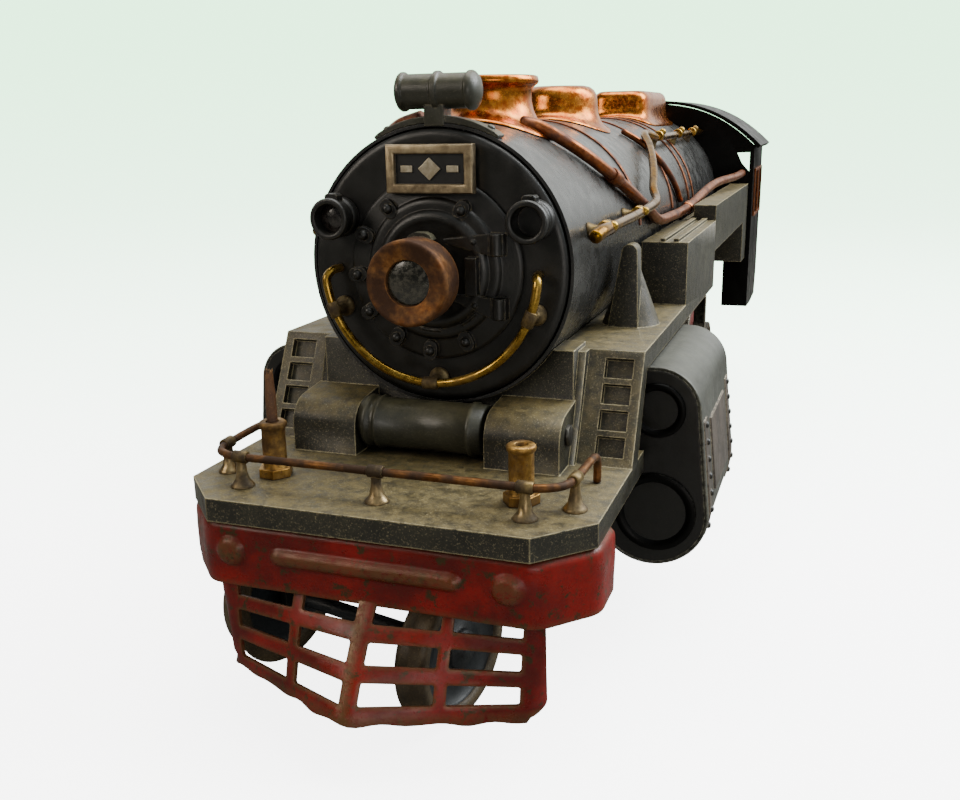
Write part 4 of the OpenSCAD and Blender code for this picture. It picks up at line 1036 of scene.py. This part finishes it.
def pilot_grille():
    """The pierced part: a flat pattern in (s, v) triangulated, then bent to the prow."""
    aspect = 40 / 25
    windows = []
    for s0, s1 in ((-0.875, -0.465), (-0.395, -0.03), (0.07, 0.445), (0.51, 0.885)):
        for v0, v1 in ((0.05, 0.215), (0.365, 0.545), (0.69, 0.88)):
            windows.append((s0, s1, v0, v1))
    pts, edges = [], []

    def loop(points):
        start = len(pts)
        pts.extend(points)
        n = len(points)
        edges.extend((start + i, start + (i + 1) % n) for i in range(n))

    def rim_v(s):
        return 1.03 + 0.03 * s + 0.016 * noise.noise(Vector((s * 7.0, 5.0, 0.0))) + 0.01 * math.sin(s * 23)
    outline = [(-1 + 0.04 * i, -0.04) for i in range(51)] + [(1.0, 0.1 * i) for i in range(0, 9)]
    outline += [(1.0 - 0.06 * (1 - math.cos(math.radians(15 * i))),
                 0.88 + 0.12 * math.sin(math.radians(15 * i)) * rim_v(1)) for i in range(7)]
    outline += [(0.92 - 0.04 * i, rim_v(0.92 - 0.04 * i)) for i in range(47)]
    outline += [(-1.0 + 0.06 * (1 - math.sin(math.radians(15 * i))),
                 0.88 + 0.12 * math.cos(math.radians(15 * i)) * rim_v(-1)) for i in range(7)]
    outline += [(-1.0, 0.8 - 0.1 * i) for i in range(0, 9)]
    clean = [outline[0]]
    for q in outline[1:]:
        if math.dist(q, clean[-1]) > 0.012:
            clean.append(q)
    if math.dist(clean[0], clean[-1]) < 0.012:
        clean.pop()
    loop([Vector((s * aspect, v)) for s, v in clean])
    for s0, s1, v0, v1 in windows:
        r = CORNER
        ring = []
        for cx, cy, a0 in ((s1 * aspect - r, v1 - r, 0), (s0 * aspect + r, v1 - r, 90), (s0 * aspect + r, v0 + r,
                                                                                         180), (s1 * aspect - r,
                                                                                                v0 + r, 270)):
            ring += [Vector(q) for q in round_arc((cx, cy), r, a0, a0 + 90, 4)]
        loop(ring)
    # points of a fine grid, so that the sheet bends smoothly
    for i in range(-44, 45):
        for j in range(27):
            s, v = i * 0.0223, 0.0 + j * 0.037
            if all(not (s0 - 0.014 < s < s1 + 0.014 and v0 - 0.02 < v < v1 + 0.02) for s0, s1, v0, v1 in windows):
                if abs(s) < 0.975 and v < 0.965 and not (abs(s) > 0.92 and v > 0.86):
                    pts.append(Vector((s * aspect, v)))
    verts, _, tris, *_ = delaunay_2d_cdt(pts, edges, [], 0, 1e-6)
    inside_outline = [Vector((s * aspect, v)) for s, v in clean]
    keep = []
    for t in tris:
        c = sum((verts[i] for i in t), Vector((0, 0))) / len(t)
        s, v = c.x / aspect, c.y
        in_window = False
        for s0, s1, v0, v1 in windows:
            if s0 < s < s1 and v0 < v < v1:
                dx = max(s0 * aspect + CORNER - c.x, c.x - (s1 * aspect - CORNER), 0)
                dy = max(v0 + CORNER - v, v - (v1 - CORNER), 0)
                if math.hypot(dx, dy) < CORNER - 0.0001:
                    in_window = True
        if not in_window and point_in_loop(c, inside_outline):
            keep.append(tuple(t))
    used = sorted({i for t in keep for i in t})
    index = {old: new for new, old in enumerate(used)}
    out, wear = [], []
    for i in used:
        s, v = verts[i].x / aspect, verts[i].y
        q = prow_point(s, v)
        rough = 0.16 * noise.noise(q * 0.16)
        out.append(q + Vector((0, rough, 0)))
        edge = min((max(s0 - s, s - s1, 0) * 40 + max(v0 - v, v - v1, 0) * 25 for s0, s1, v0, v1 in windows),
                   default=9)
        wear.append(0.8 * smooth(1 - edge / 1.1) + 0.95 * smooth(1 - abs(s) / 0.05) + 0.8 * smooth((v - 0.93) / 0.07))
    return out, [tuple(index[i] for i in t) for t in keep], wear


def point_in_loop(p, loop):
    inside = False
    for a, b in zip(loop, loop[1:] + loop[:1]):
        if (a.y > p.y) != (b.y > p.y) and p.x < (b.x - a.x) * (p.y - a.y) / (b.y - a.y) + a.x:
            inside = not inside
    return inside


# ---------------------------------------------------------------- cylinders, cab and the rest

CHEST_LEAN = 0.10904  # how far a chest's outer face leans out, per millimetre down
CHEST_TURN = -17  # height at which that face turns in to the cylinder


def chest_outline(inset=0.0):
    """Cross-section of a steam chest in (x, z): valve chest above, cylinder below."""
    upper = round_arc((52.2, 9.4), 11.2 - inset, 90, 8, 14)
    lower = round_arc((51.2, -18.3), 15 - inset, -4, -150, 24)
    return [(38 + inset, 20.6 - inset)] + upper + [(66 - inset, -17)] + lower + [(38 + inset, -24)]


def steam_chests():
    low, high = cad("steam_chests")
    p = Piece("chests", "steam_chests", "chest_paint", "front_black", "chest_side")
    stand = Matrix(((1, 0, 0, 0), (0, 0, 1, 0), (0, 1, 0, 0), (0, 0, 0, 1)))
    rings = []
    for y, inset in ((low.y + 0.3, 0.7), (low.y, 0.4), (low.y, 0), (low.y + 0.5, -0.15), (low.y + 1.4, -0.15),
                     (low.y + 1.8, 0.05),
                     (high.y - 1.2, 0.05), (high.y - 0.8, -0.1), (high.y, 0)):
        rings.append([(x, y, z) for x, z in chest_outline(inset)])
    p.both(lofted(rings))
    # dark end plate, inside the jacket's edge
    p.both(prism([(x, z) for x, z in chest_outline(0.9)], 0.5), Matrix.Translation((0, low.y - 0.1, 0)) @ stand,
           mat=1)

    # outer face: a raised border and a row of domed rivets along its front and rear edges
    def face_x(z):
        return 63.5 + CHEST_LEAN * (8 - z) if z > CHEST_TURN else 66.1 - 0.02 * (z - CHEST_TURN) ** 2

    for y0, y1 in ((low.y + 2.2, low.y + 8.4), (high.y - 8.4, high.y - 2.2)):
        strip = []
        for k in range(15):
            z = 6.5 - k * 2.2
            strip.append([(face_x(z) - 0.4, y0, z), (face_x(z) + 0.35, y0 + 0.3, z), (face_x(z) + 0.35, y1 - 0.3, z),
                          (face_x(z) - 0.4, y1, z)])
        p.both(lofted(strip), mat=2)
        for k in range(7):
            z = 5.0 - k * 4.6
            slope = 0.11 if z > CHEST_TURN else 0.02
            p.both(turned([(0, -0.2), (0.95, -0.2), (0.9, 0.3), (0.6, 0.65), (0, 0.8)], 16),
                   at(face_x(z) + 0.3, (y0 + y1) / 2, z, (1, 0, slope)), mat=1)
    panel = []
    for k in range(9):
        z = 4.5 - k * 2.5
        panel.append([(face_x(z) - 0.4, low.y + 13.5, z), (face_x(z) + 0.5, low.y + 14.1, z), (face_x(z) + 0.5,
                                                                                               high.y - 14.1, z),
                      (face_x(z) - 0.4, high.y - 13.5, z)])
    p.both(lofted(panel), mat=2)
    return p.finish(bevel=0.25, sharp=40)


def cylinder_heads():
    low = cad("cylinder_heads")[0]
    p = Piece("heads", "cylinder_heads", "black_paint", "aged_copper")
    upper = [(0, 1.3), (4.9, 1.3), (5.3, 0.7), (5.9, 0.05), (6.7, 0.0), (7.2, 0.4), (7.35, 2.0), (8.3, 2.1), (8.65,
                                                                                                2.5),
             (8.65, 3.9), (0, 3.9)]
    lower = [(0, 1.7), (7.4, 1.7), (8.1, 0.9), (9.0, 0.1), (10.0, 0.0), (10.7, 0.4), (10.95, 1.9), (12.6, 2.0),
             (13.1, 2.5),
             (13.1, 3.9), (0, 3.9)]
    p.both(turned(upper, 72), at(52.4, low.y, 9.4, (0, 1, 0)))
    p.both(turned(lower, 88), at(52.4, low.y, -18.3, (0, 1, 0)))
    # a spot rubbed to bare metal, low on the cylinder cover
    spot = [(1.5 * math.cos(math.radians(30 * i)), 2.2 * math.sin(math.radians(30 * i))) for i in range(12)]
    p.both(prism(spot, 0.1), at(55.4, low.y + 1.95, -29.8, FACING), mat=1)
    return p.finish(sharp=50)


RIM_FROM = 13.6  # radius beyond which a wheel's faces belong to its rim
TRUCK_TURN = {"pilot_wheelset": math.radians(-14), "trailing_wheelset": 0.0}


def wheelset(node):
    """A truck's wheels: centres and axle dark, rims, treads and flanges tan."""
    low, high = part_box(node)
    mid = (low + high) / 2
    along_axle = Vector((math.cos(TRUCK_TURN[node]), math.sin(TRUCK_TURN[node]), 0))

    def pick(face):
        out = face.calc_center_median() - mid
        out -= along_axle * out.dot(along_axle)
        return 0 if out.length > RIM_FROM * MM else 1
    refined(node, ("tread", "wheel_dark"), 0.0, pick=pick)


# CAD nodes kept in shape, with the rounding of their edges in millimetres
PLAIN = {
    "frame_casting": 0.16, "air_tank": 0.0, "boiler_shell": 0.0, "crosshead_guides": 0.2, "cab_body": 0.15,
    "cab_roof": 0.2, "window_frames": 0.1, "motor_side_plates": 0.15, "field_magnet": 0.1, "field_coil": 0.8,
    "brush_holders": 0.15, "pickup_plate": 0.15, "reverse_unit": 0.15, "frame_screws": 0.0, "armature": 0.0,
    "idler_gear": 0.1, "rear_drive_gear": 0.1, "front_driver_wheels": 0.2, "front_driver_tyres": 0.0,
    "front_driver_axle": 0.0, "rear_driver_wheels": 0.2, "rear_driver_tyres": 0.0, "rear_driver_axle": 0.0,
    "side_rod_left": 0.2, "side_rod_right": 0.2, "main_rod_left": 0.2, "main_rod_right": 0.2,
    "crosshead_left": 0.15, "crosshead_right": 0.15, "pilot_truck_frame": 0.15, "pilot_wheelset": 0.0,
    "trailing_truck_frame": 0.15, "trailing_wheelset": 0.0, "front_pickup_arm": 0.1, "rear_pickup_arm": 0.1,
    "front_pickup_roller": 0.0, "rear_pickup_roller": 0.0, "drawbar": 0.2,
}
# nodes whose finish differs from their material slot
SLOT_MATERIAL = {"air_tank": "tank_paint", "cab_body": "black_paint", "cab_roof": "black_paint",
                 "window_frames": "aged_copper"}

smokebox_front()
smokebox_door()
number_plate()
headlight()
lamp_lenses()
marker_lamps()
grab_rail()
smokestack()
steam_dome()
sand_dome()
heater()
boiler_bands()
copper_pipes()
handrails()
handrail_posts()
deck_rail()
deck_rail_posts()
flag_sockets()
flag_staff()
pilot()
steam_chests()
cylinder_heads()
for node, width in PLAIN.items():
    if node not in TRUCK_TURN:
        refined(node, (SLOT_MATERIAL.get(node, SLOT_OF[node]),), width)
for node in TRUCK_TURN:
    wheelset(node)


# ---------------------------------------------------------------- floor, light and camera

def backdrop_material():
    """Pale to the camera, from white to a faint green above; darker to the rays that light the model."""
    g = Graph("pale_backdrop")
    tree = g.tree
    window = g.new("ShaderNodeTexCoord").outputs["Window"]
    split = g.new("ShaderNodeSeparateXYZ")
    g.put(split.inputs[0], window)
    tint = g.mix(g.ramp(split.outputs["Y"], 0.25, 1.0), rgb("ffffff"), rgb("b2f0bd"))
    seen = g.new("ShaderNodeLightPath").outputs["Is Camera Ray"]
    g.put(g.bsdf.inputs["Base Color"], g.mix(seen, rgb("6a6862"), tint))
    g.put(g.bsdf.inputs["Roughness"], 0.85)
    g.bsdf.inputs["Specular IOR Level"].default_value = 0.15
    glow = g.new("ShaderNodeEmission")
    height = g.new("ShaderNodeSeparateXYZ")
    g.put(height.inputs[0], g.new("ShaderNodeNewGeometry").outputs["Position"])
    glossy = g.new("ShaderNodeLightPath").outputs["Is Glossy Ray"]
    high_up = g.math("MULTIPLY", glossy, g.ramp(height.outputs["Z"], -0.05, 0.5, 0.0, 0.36))
    g.put(glow.inputs["Strength"], g.math("MAXIMUM", seen, high_up))
    both = g.new("ShaderNodeAddShader")
    tree.links.new(g.bsdf.outputs[0], both.inputs[0])
    tree.links.new(glow.outputs[0], both.inputs[1])
    scale = g.new("ShaderNodeVectorMath", operation="SCALE")
    g.put(scale.inputs[0], g.mix(seen, rgb("e9ece8"), tint))
    scale.inputs["Scale"].default_value = BACKDROP_GLOW
    tree.links.new(scale.outputs[0], glow.inputs["Color"])
    tree.links.new(both.outputs[0], tree.nodes["Material Output"].inputs["Surface"])
    return g.mat


def stage():
    """A floor that sweeps up behind the model, so that no horizon shows."""
    floor_z = CAD_BOX[0][2]
    profile = [(-4.0, 0.0), (1.2, 0.0)] + [(1.2 + 1.2 * math.sin(math.radians(9 * i)),
                                            1.2 - 1.2 * math.cos(math.radians(9 * i)))
                                           for i in range(1, 11)] + [(2.4, 5.0)]
    verts = [(x, y, floor_z + z) for y, z in profile for x in (-6.0, 6.0)]
    faces = [(2 * k, 2 * k + 1, 2 * k + 3, 2 * k + 2) for k in range(len(profile) - 1)]
    mesh = bpy.data.meshes.new("backdrop")
    mesh.from_pydata(verts, [], faces)
    mesh.shade_smooth()
    mesh.materials.append(backdrop_material())
    sweep = bpy.data.objects.new("backdrop", mesh)
    bpy.context.scene.collection.objects.link(sweep)


def soft_light(name, place, target, size, power, tint):
    data = bpy.data.lights.new(name, "AREA")
    data.shape = "RECTANGLE"
    data.size, data.size_y = size
    data.energy = power
    data.color = tint
    lamp = bpy.data.objects.new(name, data)
    lamp.location = place
    lamp.rotation_euler = (Vector(target) - Vector(place)).to_track_quat("-Z", "Y").to_euler()
    bpy.context.scene.collection.objects.link(lamp)


def lights():
    world = bpy.data.worlds.new("room")
    world.use_nodes = True
    tree = world.node_tree
    way = tree.nodes.new("ShaderNodeTexCoord").outputs["Generated"]
    dot = tree.nodes.new("ShaderNodeVectorMath")
    dot.operation = "DOT_PRODUCT"
    tree.links.new(way, dot.inputs[0])
    dot.inputs[1].default_value = Vector(BRIGHT_SIDE).normalized()
    spread = tree.nodes.new("ShaderNodeMapRange")
    spread.interpolation_type = "SMOOTHSTEP"
    tree.links.new(dot.outputs["Value"], spread.inputs["Value"])
    for key, v in (("From Min", -0.1), ("From Max", 0.95), ("To Min", 0.1), ("To Max", 1.1)):
        spread.inputs[key].default_value = v
    room = tree.nodes["Background"]
    room.inputs[0].default_value = rgb("e3eaea")
    seen = tree.nodes.new("ShaderNodeLightPath").outputs["Is Camera Ray"]
    pale = tree.nodes.new("ShaderNodeMix")
    for key, v in ((0, seen), (2, spread.outputs["Result"])):
        tree.links.new(v, pale.inputs[key])
    pale.inputs[3].default_value = BACKDROP_GLOW
    tree.links.new(pale.outputs[0], room.inputs[1])
    bpy.context.scene.world = world
    soft_light("window", (0.55, 0.25, 0.62), (0, -0.02, 0.1), (0.5, 0.6), 13.0, (0.93, 0.97, 1))
    soft_light("overhead", (0.05, 0.05, 0.95), (0, -0.05, 0.1), (0.8, 0.5), 8.0, (1, 0.98, 0.95))
    soft_light("left_front", (-0.45, -0.6, 0.42), (0, -0.15, 0.04), (0.3, 0.3), 2.2, (1, 0.9, 0.78))
    soft_light("front_low", (0.35, -0.75, 0.12), (0, -0.15, 0.03), (0.4, 0.3), 1.2, (1, 0.94, 0.88))


def camera():
    """The view: ahead of the nose, on the locomotive's left, looking back and down a little."""
    yaw, pitch, roll = math.radians(YAW), math.radians(PITCH), math.radians(ROLL)
    eye = TO_ROW @ Vector(EYE)
    look = Vector((-math.sin(yaw) * math.cos(pitch), math.cos(yaw) * math.cos(pitch), math.sin(pitch)))
    right = look.cross(Vector((0, 0, 1))).normalized()
    up = right.cross(look)
    side = right * math.cos(roll) + up * math.sin(roll)
    top = up * math.cos(roll) - right * math.sin(roll)
    data = bpy.data.cameras.new("camera")
    data.sensor_width = SENSOR
    data.lens = LENS
    data.clip_start = 0.005
    cam = bpy.data.objects.new("camera", data)
    turn = Matrix((side, top, -look)).transposed().to_4x4()
    cam.matrix_world = Matrix.Translation(eye) @ turn
    bpy.context.scene.collection.objects.link(cam)
    bpy.context.scene.camera = cam


stage()
lights()
camera()
